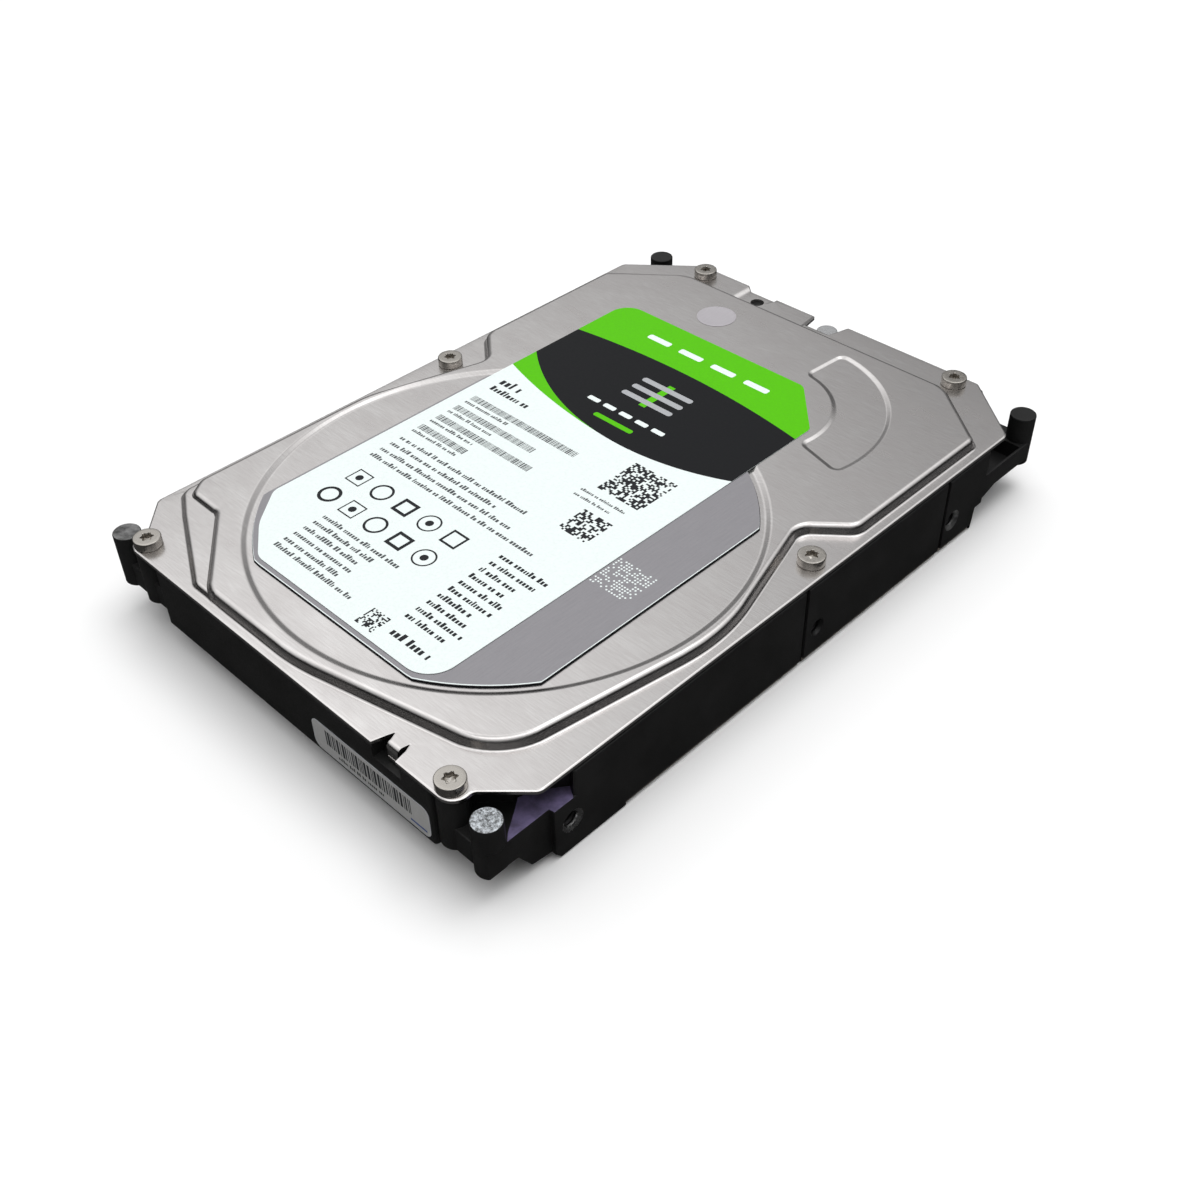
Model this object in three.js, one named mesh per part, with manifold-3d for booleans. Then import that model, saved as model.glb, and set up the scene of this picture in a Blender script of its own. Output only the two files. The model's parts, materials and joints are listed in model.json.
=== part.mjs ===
// Hard disk drive, 3.5-inch form factor, low-profile case with two discs.
// Millimetres, +Z up. +Y is the connector end. The origin is the middle of the footprint, at the
// height of the rail bottoms, so the drive stands on z = 0.
import * as THREE from 'three';
import { mergeVertices } from 'three/addons/utils/BufferGeometryUtils.js';
import Module from 'manifold-3d';

const wasm = await Module();
wasm.setup();

// ---- Driving dimensions -------------------------------------------------------------------------

// Case
const HALF_WIDTH = 50.8;
const HALF_LENGTH = 73.5;
const FRONT_FACE = -73.4;
const REAR_FACE = 72.9;
const DECK_UNDER = 4.7;
const DECK_TOP = 6.6;
const RIM_TOP = 16.7;
const LEDGE_TOP = 11.3;
const WEB_UNDER = 6.3;
const REAR_WEB_UNDER = 7.2;
const RAIL_INNER = 44.6;
const POST = { x: 48.2, y: 70.95, radius: 2.55, bottom: 6.0, top: 16.8 };

// Cover sheet
const SHEET = 0.6;
const FLANGE_UNDER = 17.4;
const FLANGE_TOP = FLANGE_UNDER + SHEET;
const SHELF_TOP = 19.0;
const PLATEAU_TOP = 20.05;
const RECESS_DEPTH = 0.45;
const RECESS_FLOOR = PLATEAU_TOP - RECESS_DEPTH;
const RECESS_RADIUS = 46.0;
const COVER_EDGE = 50.7;
const COVER_FRONT = -73.45;
const COVER_REAR = 72.4;
const LABEL_THICKNESS = 0.1;
const LABEL_TOP = 20.17;
const FOIL_TOP = 20.0;
const FOIL_RADIUS = 44.9;
const FOIL_SPAN = { left: -35.4, right: 36.2, front: -61.8, rear: 20 };
const BAR_LABEL = { left: 8.8, right: 37.6, bottom: 5.5, top: 12.0 };
const PORT_SEAL = { x: -17, y: 54.2, radius: 4.2 };

// Standard mounting holes
const SIDE_HOLE_Z = 6.35;
const SIDE_HOLES_Y = [45.0, 3.4, -56.6];
const BOTTOM_HOLE_X = 47.625;
const BOTTOM_HOLES_Y = [32.22, -12.23, -43.98];
const MOUNT_HOLE_RADIUS = 1.6;
const MOUNT_HOLE_DEPTH = 4.2;

// Cover screws: [x, y]
const COVER_SCREWS = [[40.5, -70.8], [47, 5], [33, 69], [-33, 69], [-47, 5], [-40.5, -70.8]];
const SCREW_SHANK = 1.3;
const SCREW_HOLE = 1.6;

// Spindle
const SPINDLE = new THREE.Vector2(0, -22.2);
const DISC_RADIUS = 47.5;
const DISC_BORE = 12.6;
const DISC_THICKNESS = 1.27;
const DISC_LOWER_Z = 9.8;
const DISC_UPPER_Z = 13.5;
const HUB_RADIUS = 12.3;
const HUB_FLANGE = 14.8;
const HUB_TOP = 14.6;
const SHAFT_RADIUS = 2.0;
const SHAFT_BOTTOM = 4.3;
const RUNNING_GAP = 0.3;

// Head actuator. Angles are in degrees, from +X, about the pivot.
const PIVOT = new THREE.Vector2(10, 33.5);
const PARKED_ARM = 205.1;
const ARM_REACH = 33;
const HEAD_REACH = 50;
const ARM_LEVELS = [[8.1, 9.1], [11.85, 12.7], [15.5, 16.4]];
const BLOCK_RADIUS = 8.2;
const CARTRIDGE_RADIUS = 5.0;
const PIVOT_PIN = { radius: 1.2, bottom: 5.8 };
const COIL = { inner: 15.6, outer: 25.8, halfAngle: 19, bottom: 10.9, top: 13.1 };
const FORK_HALF_ANGLE = 24;

// Voice-coil motor
const YOKE = { inner: 13.2, outer: 28.2, from: -9, to: 93, lower: [6.65, 8.65], upper: [15.32, 17.3] };
const MAGNET = { inner: 14.2, outer: 27.2, from: 2, to: 82, lower: [8.67, 9.9], upper: [14.1, 15.3] };
const STOP = { reach: 22, radius: 1.5, angles: [-4.0, 88.1] };
const YOKE_SCREW = { reach: 15.8, angles: [-5, 89] };

// Circuit board
const BOARD = { bottom: 2.0, top: 3.2, rear: 66.0, front: 2.0, halfWidth: 43.6 };
const BOARD_SCREWS = [[38, 8], [-38, 8], [38, 58], [-38, 58]];
const CONNECTOR = { from: 5.0, to: 44.0, front: 63.6, rear: 73.4, bottom: 0.9, top: 7.6 };
const BOARD_HOLE = 1.3;
const FOAM = { inset: 3, rear: 61, bottom: 4.2, hole: 2.6 };
const CONNECTOR_BAY = { clearance: 1.2, front: 62.6, top: 8.6 };
const JUMPERS = { from: -7.0, to: 3.0, front: 66.3, rear: 73.0, bottom: 1.6, top: 6.4 };
const JUMPER_BAY = { clearance: 1, front: 62.6, top: 7.4 };

// ---- Materials ----------------------------------------------------------------------------------

const surface = (color, roughness, metalness) =>
  new THREE.MeshStandardMaterial({ color, roughness, metalness });
const FINISH = {
  blackCasting: surface(0x1d1d1e, 0.5, 0.3),
  satinSteel: surface(0xb4afac, 0.38, 0.9),
  screwSteel: surface(0xa8a39a, 0.3, 0.9),
  greyFoil: surface(0x8f8e92, 0.6, 0.3),
  paper: surface(0xf2f4f4, 0.6, 0),
  seal: surface(0xb9b6bc, 0.5, 0.4),
  rubber: surface(0x151515, 0.85, 0),
  board: surface(0x163a2a, 0.5, 0),
  blackPlastic: surface(0x17171a, 0.5, 0),
  palePlastic: surface(0xd8d2c0, 0.5, 0),
  foam: surface(0x3b3d42, 0.95, 0),
  chip: surface(0x101112, 0.4, 0),
  mirrorDisc: surface(0xd6d8da, 0.05, 1),
  aluminium: surface(0xb9bcc0, 0.35, 0.9),
  nickel: surface(0xc4c6c8, 0.25, 1),
  ironCore: surface(0x5c5f63, 0.5, 0.8),
  copper: surface(0xa8622e, 0.4, 0.7),
  flex: surface(0xa86c22, 0.5, 0.1),
  filter: surface(0xeeeeea, 0.9, 0),
};

// ---- Outline helpers ----------------------------------------------------------------------------

const RADIANS = Math.PI / 180;
const polar = (centre, radius, degrees) =>
  new THREE.Vector2(
    centre.x + radius * Math.cos(degrees * RADIANS),
    centre.y + radius * Math.sin(degrees * RADIANS),
  );

// Points of a closed anticlockwise outline whose corners are [x, y, radius].
function rounded(corners, stepDegrees = 18) {
  const points = [];
  corners.forEach(([x, y, radius = 0], i) => {
    const corner = new THREE.Vector2(x, y);
    if (radius <= 0) {
      points.push(corner);
      return;
    }
    const before = corners[(i + corners.length - 1) % corners.length];
    const after = corners[(i + 1) % corners.length];
    const toBefore = new THREE.Vector2(before[0] - x, before[1] - y).normalize();
    const toAfter = new THREE.Vector2(after[0] - x, after[1] - y).normalize();
    const half = Math.acos(THREE.MathUtils.clamp(toBefore.dot(toAfter), -1, 1)) / 2;
    const bisector = toBefore.clone().add(toAfter).normalize();
    const centre = corner.clone().addScaledVector(bisector, radius / Math.sin(half));
    const reach = radius / Math.tan(half);
    const start = corner.clone().addScaledVector(toBefore, reach).sub(centre).angle();
    const end = corner.clone().addScaledVector(toAfter, reach).sub(centre).angle();
    let sweep = end - start;
    if (sweep > Math.PI) sweep -= 2 * Math.PI;
    if (sweep < -Math.PI) sweep += 2 * Math.PI;
    const steps = Math.max(1, Math.ceil(Math.abs(sweep) / (stepDegrees * RADIANS)));
    for (let k = 0; k <= steps; k += 1) {
      const angle = start + (sweep * k) / steps;
      points.push(new THREE.Vector2(Math.cos(angle), Math.sin(angle)).multiplyScalar(radius).add(centre));
    }
  });
  return points;
}

// The same corners moved outwards by a distance, with their radii grown or shrunk to stay parallel.
function grown(corners, distance) {
  return corners.map(([x, y, radius = 0], i) => {
    const before = corners[(i + corners.length - 1) % corners.length];
    const after = corners[(i + 1) % corners.length];
    const edgeIn = new THREE.Vector2(x - before[0], y - before[1]).normalize();
    const edgeOut = new THREE.Vector2(after[0] - x, after[1] - y).normalize();
    const normalIn = new THREE.Vector2(edgeIn.y, -edgeIn.x);
    const normalOut = new THREE.Vector2(edgeOut.y, -edgeOut.x);
    const shift = distance / (1 + normalIn.dot(normalOut));
    const convex = edgeIn.cross(edgeOut) > 0;
    const newRadius = radius > 0 ? Math.max(0.2, radius + (convex ? distance : -distance)) : 0;
    return [
      x + (normalIn.x + normalOut.x) * shift,
      y + (normalIn.y + normalOut.y) * shift,
      newRadius,
    ];
  });
}

const mirrored = (corners) => corners.map(([x, y, radius]) => [-x, y, radius]).reverse();

// Points of part of a ring about a centre, between two angles.
function sectorPoints(centre, inner, outer, from, to, stepDegrees = 7) {
  const steps = Math.ceil((to - from) / stepDegrees);
  const arc = (radius) =>
    Array.from({ length: steps + 1 }, (_, k) => polar(centre, radius, from + ((to - from) * k) / steps));
  return [...arc(outer), ...arc(inner).reverse()];
}

const rectangle = (x0, y0, x1, y1) => [
  new THREE.Vector2(x0, y0),
  new THREE.Vector2(x1, y0),
  new THREE.Vector2(x1, y1),
  new THREE.Vector2(x0, y1),
];

// ---- Solid helpers ------------------------------------------------------------------------------

function toSolid(geometry) {
  const bare = geometry.index ? geometry.toNonIndexed() : geometry.clone();
  bare.deleteAttribute('normal');
  bare.deleteAttribute('uv');
  const welded = mergeVertices(bare, 1e-5);
  return new wasm.Manifold(new wasm.Mesh({
    numProp: 3,
    vertProperties: new Float32Array(welded.attributes.position.array),
    triVerts: new Uint32Array(welded.index.array),
  }));
}

function toGeometry(solid) {
  const { vertProperties, triVerts } = solid.getMesh();
  const geometry = new THREE.BufferGeometry();
  geometry.setAttribute('position', new THREE.BufferAttribute(vertProperties, 3));
  geometry.setIndex(new THREE.BufferAttribute(triVerts, 1));
  geometry.computeVertexNormals();
  return geometry;
}

const join = (...solids) => solids.reduce((sum, solid) => sum.add(solid));
const cut = (solid, ...tools) => tools.reduce((rest, tool) => rest.subtract(tool), solid);

// An upright prism over an outline.
function prism(points, bottom, top) {
  const geometry = new THREE.ExtrudeGeometry(new THREE.Shape(points), {
    depth: top - bottom,
    bevelEnabled: false,
  });
  return toSolid(geometry.translate(0, 0, bottom));
}

const block = (x0, x1, y0, y1, z0, z1) => prism(rectangle(x0, y0, x1, y1), z0, z1);

// A distance past every face of the case, for the ends of blocks that cut through a face.
const BEYOND = 80;

// A prism along X over an outline of [y, z] points.
function sidePrism(profile, x0, x1) {
  const shape = new THREE.Shape(profile.map(([y, z]) => new THREE.Vector2(y, z)));
  const geometry = new THREE.ExtrudeGeometry(shape, { depth: x1 - x0, bevelEnabled: false });
  const turn = new THREE.Matrix4().set(0, 0, 1, x0, 1, 0, 0, 0, 0, 1, 0, 0, 0, 0, 0, 1);
  return toSolid(geometry.applyMatrix4(turn));
}

function drum(x, y, radius, bottom, top, segments = 16) {
  const geometry = new THREE.CylinderGeometry(radius, radius, top - bottom, segments);
  geometry.rotateX(Math.PI / 2);
  return toSolid(geometry.translate(x, y, (bottom + top) / 2));
}

const drumAt = (centre, radius, bottom, top, segments = 12) =>
  drum(centre.x, centre.y, radius, bottom, top, segments);

function sideDrum(x0, x1, y, z, radius, segments = 12) {
  const geometry = new THREE.CylinderGeometry(radius, radius, Math.abs(x1 - x0), segments);
  geometry.rotateZ(Math.PI / 2);
  return toSolid(geometry.translate((x0 + x1) / 2, y, z));
}

// A turned piece about a vertical axis, from a closed profile of [radius, z].
function turned(centre, profile, segments) {
  const closed = [...profile, profile[0]].map(([radius, z]) => new THREE.Vector2(radius, z));
  const geometry = new THREE.LatheGeometry(closed, segments);
  geometry.rotateX(Math.PI / 2);
  return toSolid(geometry.translate(centre.x, centre.y, 0));
}

const tube = (centre, inner, outer, bottom, top, segments) =>
  turned(centre, [[inner, bottom], [outer, bottom], [outer, top], [inner, top]], segments);

const sector = (ring, levels) =>
  prism(sectorPoints(PIVOT, ring.inner, ring.outer, ring.from, ring.to), levels[0], levels[1]);

// A strip of even thickness that follows a plan curve.
function ribbon(curve, thickness, bottom, top, steps) {
  const left = [];
  const right = [];
  for (let k = 0; k <= steps; k += 1) {
    const point = curve.getPoint(k / steps);
    const tangent = curve.getTangent(k / steps);
    const offset = new THREE.Vector2(-tangent.y, tangent.x).multiplyScalar(thickness / 2);
    left.push(point.clone().add(offset));
    right.unshift(point.clone().sub(offset));
  }
  return prism([...left.reverse(), ...right.reverse()], bottom, top);
}

// A pan-head screw standing on a surface: its shank goes down, and its socket is a round well.
function panScrew(x, y, seat, head, shank, depth) {
  const profile = [
    [0, seat - depth],
    [shank, seat - depth],
    [shank, seat],
    [head.radius, seat],
    [head.radius, seat + head.height * 0.6],
    [head.radius * 0.8, seat + head.height],
    [head.socket, seat + head.height],
    [0, seat + head.height * 0.4],
  ];
  const geometry = new THREE.LatheGeometry(profile.map(([r, z]) => new THREE.Vector2(r, z)), 12);
  geometry.rotateX(Math.PI / 2);
  return toSolid(geometry.translate(x, y, 0));
}

// ---- Shared outlines ----------------------------------------------------------------------------

// Raised field of the cover. The chamber of the casting below has the same outline.
const FIELD = [
  [-20.6, -71.4, 6],
  [3, -71.4, 40],
  [42.1, -62.8, 6],
  [49.15, -20, 38],
  [40.2, 9.65, 4],
  [48.2, 16.4, 3.5],
  [48.0, 56.5, 3],
  [41.0, 64.6, 4],
  [-41.0, 64.6, 4],
  [-48.0, 56.5, 3],
  [-48.2, 16.4, 3.5],
  [-40.2, 9.65, 4],
  [-47.9, -16, 20],
  [-47.9, -54.8, 3],
  [-45.6, -58.2, 2.5],
  [-37.6, -58.2, 3],
];

// Lower step of the cover at its front left corner.
const SHELF = [
  [-24.5, -71.6, 4],
  [-18, -71.6, 0],
  [-30, -58, 0],
  [-40, -54, 0],
  [-48.6, -54, 1],
  [-48.6, -58.4, 3],
  [-42.5, -62.0, 6],
];

const COVER_RIGHT = [
  [44.0, COVER_FRONT, 3],
  [43.6, -69.3, 1.5],
  [COVER_EDGE, -62.6, 2],
  [COVER_EDGE, 60.6, 2],
  [36.6, COVER_REAR, 1],
];
const COVER_REAR_EDGE = [
  [4.4, COVER_REAR, 0.5],
  [3.0, 67.3, 0.5],
  [-3.0, 67.3, 0.5],
  [-4.4, COVER_REAR, 0.5],
  [-15.0, COVER_REAR, 0],
  [-15.0, 70.9, 0],
  [-21.5, 70.9, 0],
  [-23.0, COVER_REAR, 0],
];
const COVER_OUTLINE = [...COVER_RIGHT, ...COVER_REAR_EDGE, ...mirrored(COVER_RIGHT)];

const TUB_RIGHT = [
  [38.3, FRONT_FACE, 0.6],
  [39.5, -68.5, 0],
  [46.6, -60.8, 2],
  [HALF_WIDTH, -55.5, 0],
  [HALF_WIDTH, 55.3, 0],
  [42.8, 67.2, 1],
  [37.6, REAR_FACE, 0.6],
];
const TUB_LEFT = [
  [-37.6, REAR_FACE, 0.6],
  [-42.8, 67.2, 1],
  [-HALF_WIDTH, 55.3, 0],
  [-HALF_WIDTH, -55.5, 0],
  [-46.6, -60.8, 2],
  [-39.5, -68.5, 0],
  [-34.6, FRONT_FACE, 0.6],
];

const RAIL_PROFILE = [
  [-59.2, 0],
  [52.8, 0],
  [53.3, 5.1],
  [59.5, REAR_WEB_UNDER],
  [70.9, REAR_WEB_UNDER],
  [70.9, LEDGE_TOP],
  [-70.9, LEDGE_TOP],
  [-70.9, WEB_UNDER],
  [-67.0, 6.1],
  [-64.4, 2.0],
  [-60.3, 1.4],
];

const RAIL_STEP = {
  frontFace: 49.8,
  frontEnd: -60.3,
  bottomFace: 50.4,
  bottomSpan: [-45, 52.5],
  bottomTop: 1.5,
};
const WEB = { inner: 36, outer: 48.5, end: 72.6 };
const GROOVE = { y: [-0.3, 41.8], width: 1.0, depth: 0.6 };
const FRONT_BOSS_RADIUS = 2.6;
const REAR_BOSS = { x: 1.0, y: 69.6, radius: 2.2, top: 17.3 };
const MOTOR_PLATE = { radius: 15, bottom: 3.2 };
const STATOR_SEAT = { inner: 4.6, outer: 5.6, top: 8.6 };
const PIVOT_SEAT = { radius: 4.6, top: 7.5 };
const VCM_POCKET = { inner: 15.8, outer: 26.3, from: -13, to: 84 };
const LEDGE_HOLE = { x: -17.8, y: 68.6, radius: 1.5 };

// Tab between two gaps in the cover's front edge, bent down and out, and its notch in the casting.
const TAB = {
  left: 25.4,
  right: 31.3,
  root: -70.6,
  narrow: [27.0, 29.6],
  inside: -71.4,
  bend: -72.0,
  foot: -73.2,
  bottom: 14.9,
  notchBottom: 14.4,
};

// ---- Housing ------------------------------------------------------------------------------------

const SIDES = [-1, 1];

// A block on one side of the case, from an inner to an outer distance from the middle plane.
const sideBlock = (side, inner, outer, y0, y1, z0, z1) =>
  block(side > 0 ? inner : -outer, side > 0 ? outer : -inner, y0, y1, z0, z1);

// A rail is set back at its front end and along its bottom edge, and has two upright grooves.
function rail(side) {
  const [left, right] = side > 0 ? [RAIL_INNER, HALF_WIDTH] : [-HALF_WIDTH, -RAIL_INNER];
  const { frontFace, frontEnd, bottomFace, bottomSpan, bottomTop } = RAIL_STEP;
  return cut(
    sidePrism(RAIL_PROFILE, left, right),
    sideBlock(side, frontFace, BEYOND, -BEYOND, frontEnd, -1, 12),
    sideBlock(side, bottomFace, BEYOND, ...bottomSpan, -1, bottomTop),
  );
}

// The parts of the casting that stick out of the tub: rails, corner webs, posts and bosses.
function castingBody() {
  const rails = SIDES.map(rail);
  const webs = SIDES.flatMap((side) => [
    sideBlock(side, WEB.inner, WEB.outer, -WEB.end, -60, WEB_UNDER, LEDGE_TOP),
    sideBlock(side, WEB.inner, WEB.outer, 58, WEB.end, REAR_WEB_UNDER, LEDGE_TOP),
  ]);
  const posts = SIDES.flatMap((sx) => SIDES.map((sy) =>
    drum(POST.x * sx, POST.y * sy, POST.radius, POST.bottom, POST.top)));
  const frontBosses = [COVER_SCREWS[0], COVER_SCREWS[5]].map(([x, y]) =>
    drum(x, y, FRONT_BOSS_RADIUS, WEB_UNDER, RIM_TOP));
  return join(
    prism(rounded([...TUB_RIGHT, ...TUB_LEFT]), DECK_UNDER, RIM_TOP),
    ...rails,
    ...webs,
    ...posts,
    ...frontBosses,
    drum(REAR_BOSS.x, REAR_BOSS.y, REAR_BOSS.radius, RIM_TOP - 1, REAR_BOSS.top),
  );
}

// Holes for the screws and for the standard mounts, and the grooves of the side faces.
function castingHoles() {
  return [
    ...COVER_SCREWS.map(([x, y]) => drum(x, y, SCREW_HOLE, 9.5, 18, 12)),
    ...BOARD_SCREWS.map(([x, y]) => drum(x, y, BOARD_HOLE, 0, 6.2, 12)),
    ...YOKE_SCREW.angles.map((angle) => drumAt(polar(PIVOT, YOKE_SCREW.reach, angle), 1.4, 5.4, 8)),
    ...SIDES.flatMap((side) => SIDE_HOLES_Y.map((y) => sideDrum(
      side * (HALF_WIDTH - MOUNT_HOLE_DEPTH), side * (HALF_WIDTH + 1), y, SIDE_HOLE_Z, MOUNT_HOLE_RADIUS))),
    ...SIDES.flatMap((side) => BOTTOM_HOLES_Y.map((y) =>
      drum(side * BOTTOM_HOLE_X, y, MOUNT_HOLE_RADIUS, -1, MOUNT_HOLE_DEPTH, 12))),
    ...SIDES.flatMap((side) => GROOVE.y.map((y) => sideBlock(
      side, HALF_WIDTH - GROOVE.depth, BEYOND, y - GROOVE.width / 2, y + GROOVE.width / 2, -1, 18))),
  ];
}

function baseCasting() {
  const chamber = prism(rounded(grown(FIELD, 0.2)), DECK_TOP, RIM_TOP + 2);
  const connectorBay = block(
    CONNECTOR.from - CONNECTOR_BAY.clearance, RAIL_INNER, CONNECTOR_BAY.front, BEYOND, -1, CONNECTOR_BAY.top);
  const jumperBay = block(
    JUMPERS.from - JUMPER_BAY.clearance, JUMPERS.to + JUMPER_BAY.clearance, JUMPER_BAY.front, BEYOND,
    -1, JUMPER_BAY.top);
  const tabNotch = block(TAB.left - 0.4, TAB.right + 0.4, -BEYOND, -70.9, TAB.notchBottom, 18);
  const hollow = cut(castingBody(), chamber, connectorBay, jumperBay, tabNotch, ...castingHoles());
  const motorPlate = drumAt(SPINDLE, MOTOR_PLATE.radius, MOTOR_PLATE.bottom, DECK_TOP - 0.5, 28);
  const statorSeat = tube(SPINDLE, STATOR_SEAT.inner, STATOR_SEAT.outer, DECK_TOP - 0.5, STATOR_SEAT.top, 20);
  const pivotSeat = drumAt(PIVOT, PIVOT_SEAT.radius, DECK_TOP - 0.5, PIVOT_SEAT.top, 16);
  const shaftHole = drumAt(SPINDLE, SHAFT_RADIUS + RUNNING_GAP, SHAFT_BOTTOM - 0.1, 10, 20);
  const pivotHole = drumAt(PIVOT, PIVOT_PIN.radius + RUNNING_GAP, PIVOT_PIN.bottom - 0.2, 8);
  return cut(join(hollow, motorPlate, statorSeat, pivotSeat), shaftHole, pivotHole);
}

function topCover() {
  const field = rounded(FIELD);
  const outside = join(
    prism(rounded(COVER_OUTLINE), FLANGE_UNDER, FLANGE_TOP),
    prism(field, FLANGE_UNDER, PLATEAU_TOP),
    prism(rounded(SHELF), FLANGE_UNDER, SHELF_TOP),
  );
  const inset = grown(FIELD, -SHEET);
  const underField = cut(
    prism(rounded(inset), FLANGE_UNDER - 1, PLATEAU_TOP - SHEET),
    drumAt(SPINDLE, RECESS_RADIUS + 0.8, RECESS_FLOOR - SHEET, PLATEAU_TOP, 48),
    sector({ inner: VCM_POCKET.inner - SHEET, outer: VCM_POCKET.outer + SHEET, from: -15, to: 86 },
      [RECESS_FLOOR - SHEET, PLATEAU_TOP]),
  );
  const underShelf = prism(rounded(grown(SHELF, -SHEET)), FLANGE_UNDER - 1, SHELF_TOP - SHEET);
  const discRecess = drumAt(SPINDLE, RECESS_RADIUS, RECESS_FLOOR, PLATEAU_TOP + 1, 48);
  const vcmRecess = sector(VCM_POCKET, [RECESS_FLOOR, PLATEAU_TOP + 1]);
  const screwHoles = COVER_SCREWS.map(([x, y]) => drum(x, y, SCREW_HOLE + 0.1, 15, 19, 10));
  const ledgeHole = drum(LEDGE_HOLE.x, LEDGE_HOLE.y, LEDGE_HOLE.radius, 15, 19, 10);
  const tabGap = block(TAB.left, TAB.right, -BEYOND, TAB.root, 15, 19);
  const tab = join(
    block(...TAB.narrow, TAB.bend, TAB.root + 0.5, FLANGE_UNDER, FLANGE_TOP),
    block(...TAB.narrow, TAB.bend, TAB.inside, TAB.bottom, FLANGE_TOP),
    block(...TAB.narrow, TAB.foot, TAB.inside, TAB.bottom, TAB.bottom + 0.5),
  );
  return join(
    cut(outside, underField, underShelf, discRecess, vcmRecess, ledgeHole, tabGap, ...screwHoles),
    tab,
  );
}

function coverGasket() {
  return cut(
    prism(rounded(grown(FIELD, 1.5)), RIM_TOP + 0.03, FLANGE_UNDER - 0.05),
    prism(rounded(grown(FIELD, 0.5)), RIM_TOP - 1, FLANGE_UNDER + 1),
  );
}

const COVER_HEAD = { radius: 2.5, height: 1.75, socket: 1.1 };
const coverScrew = ([x, y]) => panScrew(x, y, FLANGE_TOP + 0.02, COVER_HEAD, SCREW_SHANK, 7.5);

function topLabel() {
  const corners = [
    [-21.2, -60.8, 4],
    [23.9, -60.8, 5.4],
    [23.9, 34.0, 2],
    [13.6, 45.1, 2.5],
    [-34.8, 45.1, 4.5],
    [-34.8, -47.8, 3],
    [-28.8, -55.2, 12],
  ];
  return prism(rounded(corners), LABEL_TOP - LABEL_THICKNESS, LABEL_TOP);
}

function coverFoil() {
  const whole = drumAt(SPINDLE, FOIL_RADIUS, RECESS_FLOOR + 0.02, FOIL_TOP, 48);
  const { left, right, front, rear } = FOIL_SPAN;
  return whole.intersect(block(left, right, front, rear, 0, 30));
}

const barLabel = () => block(
  BAR_LABEL.left, BAR_LABEL.right, -HALF_LENGTH, FRONT_FACE - 0.01, BAR_LABEL.bottom, BAR_LABEL.top);
const portSeal = () =>
  drum(PORT_SEAL.x, PORT_SEAL.y, PORT_SEAL.radius, PLATEAU_TOP + 0.01, PLATEAU_TOP + 0.09, 24);

// ---- Electronics --------------------------------------------------------------------------------

const BOARD_CORNERS = [
  [-BOARD.halfWidth, BOARD.front, 2],
  [BOARD.halfWidth, BOARD.front, 2],
  [BOARD.halfWidth, BOARD.rear, 2],
  [-BOARD.halfWidth, BOARD.rear, 2],
];

// The board is notched at its rear for the plug connector.
function circuitBoard() {
  const slab = prism(rounded(BOARD_CORNERS), BOARD.bottom, BOARD.top);
  const notch = block(CONNECTOR.from - 0.3, CONNECTOR.to + 2, CONNECTOR.front - 0.3, 80, 0, 8);
  const holes = BOARD_SCREWS.map(([x, y]) => drum(x, y, BOARD_HOLE, 0, 8, 12));
  return cut(slab, notch, ...holes);
}

function boardFoam() {
  const pad = prism(rounded(grown(BOARD_CORNERS, -FOAM.inset)), FOAM.bottom, DECK_UNDER - 0.05);
  const rearEnd = block(-60, 60, FOAM.rear, 80, 0, 8);
  const holes = BOARD_SCREWS.map(([x, y]) => drum(x, y, FOAM.hole, 0, 8, 10));
  return cut(pad, rearEnd, ...holes);
}

const BOARD_HEAD = { radius: 2.2, height: 1.0, socket: 0.8 };
function boardScrew([x, y]) {
  const screw = panScrew(0, 0, 0, BOARD_HEAD, 1.0, 4.0);
  return screw.rotate([180, 0, 0]).translate([x, y, BOARD.bottom - 0.02]);
}

// Plug shell open to the rear, with two tongues for the signal and the power contacts.
function plugConnector() {
  const { from, to, front, rear, bottom, top } = CONNECTOR;
  const shell = cut(
    block(from, to, front, rear, bottom, top),
    block(from + 1.6, to - 1.6, front + 3.2, rear + 1, bottom + 1.2, top - 1.3),
    block(from + 8.4, to - 8.4, rear - 1.6, rear + 1, bottom + 4, top + 1),
  );
  const tongue = (x0, x1) => join(
    block(x0, x1, front + 3, rear - 0.4, 2.9, 4.1),
    block(x0, x0 + 1.1, front + 3, rear - 0.4, 2.9, 5.3),
  );
  return join(shell, tongue(from + 3.2, from + 13.6), tongue(from + 15.8, to - 2.4));
}

function jumperBlock() {
  const { from, to, front, rear, bottom, top } = JUMPERS;
  const shell = cut(
    block(from, to, front, rear, bottom, top),
    block(from + 0.9, to - 0.9, front + 1.4, rear + 1, bottom + 0.8, top - 0.8),
  );
  const pitch = (to - from) / 4;
  const pins = [0, 1, 2, 3].map((i) => {
    const x = from + pitch * (i + 0.5);
    return block(x - 0.3, x + 0.3, front + 1, rear - 0.6, 3.7, 4.3);
  });
  return join(shell, ...pins);
}

const chip = (x, y, width, length) =>
  block(x - width / 2, x + width / 2, y - length / 2, y + length / 2, BOARD.top + 0.02, 4.1);

// ---- Spindle ------------------------------------------------------------------------------------

const spindleShaft = () => drumAt(SPINDLE, SHAFT_RADIUS, SHAFT_BOTTOM, 16.9, 20);

function stator() {
  const ring = tube(SPINDLE, 5.8, 6.9, 7.4, 10.2, 18);
  const teeth = Array.from({ length: 9 }, (_, i) => {
    const angle = i * 40;
    const foot = prism(sectorPoints(SPINDLE, 8.9, 9.6, angle - 15, angle + 15, 15), 7.6, 10.0);
    const winding = prism(sectorPoints(SPINDLE, 6.6, 9.0, angle - 11, angle + 11, 22), 7.3, 10.3);
    return join(foot, winding);
  });
  return join(ring, ...teeth);
}

const rotorMagnet = () => tube(SPINDLE, 9.95, 10.85, 7.5, 10.8, 28);

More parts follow.
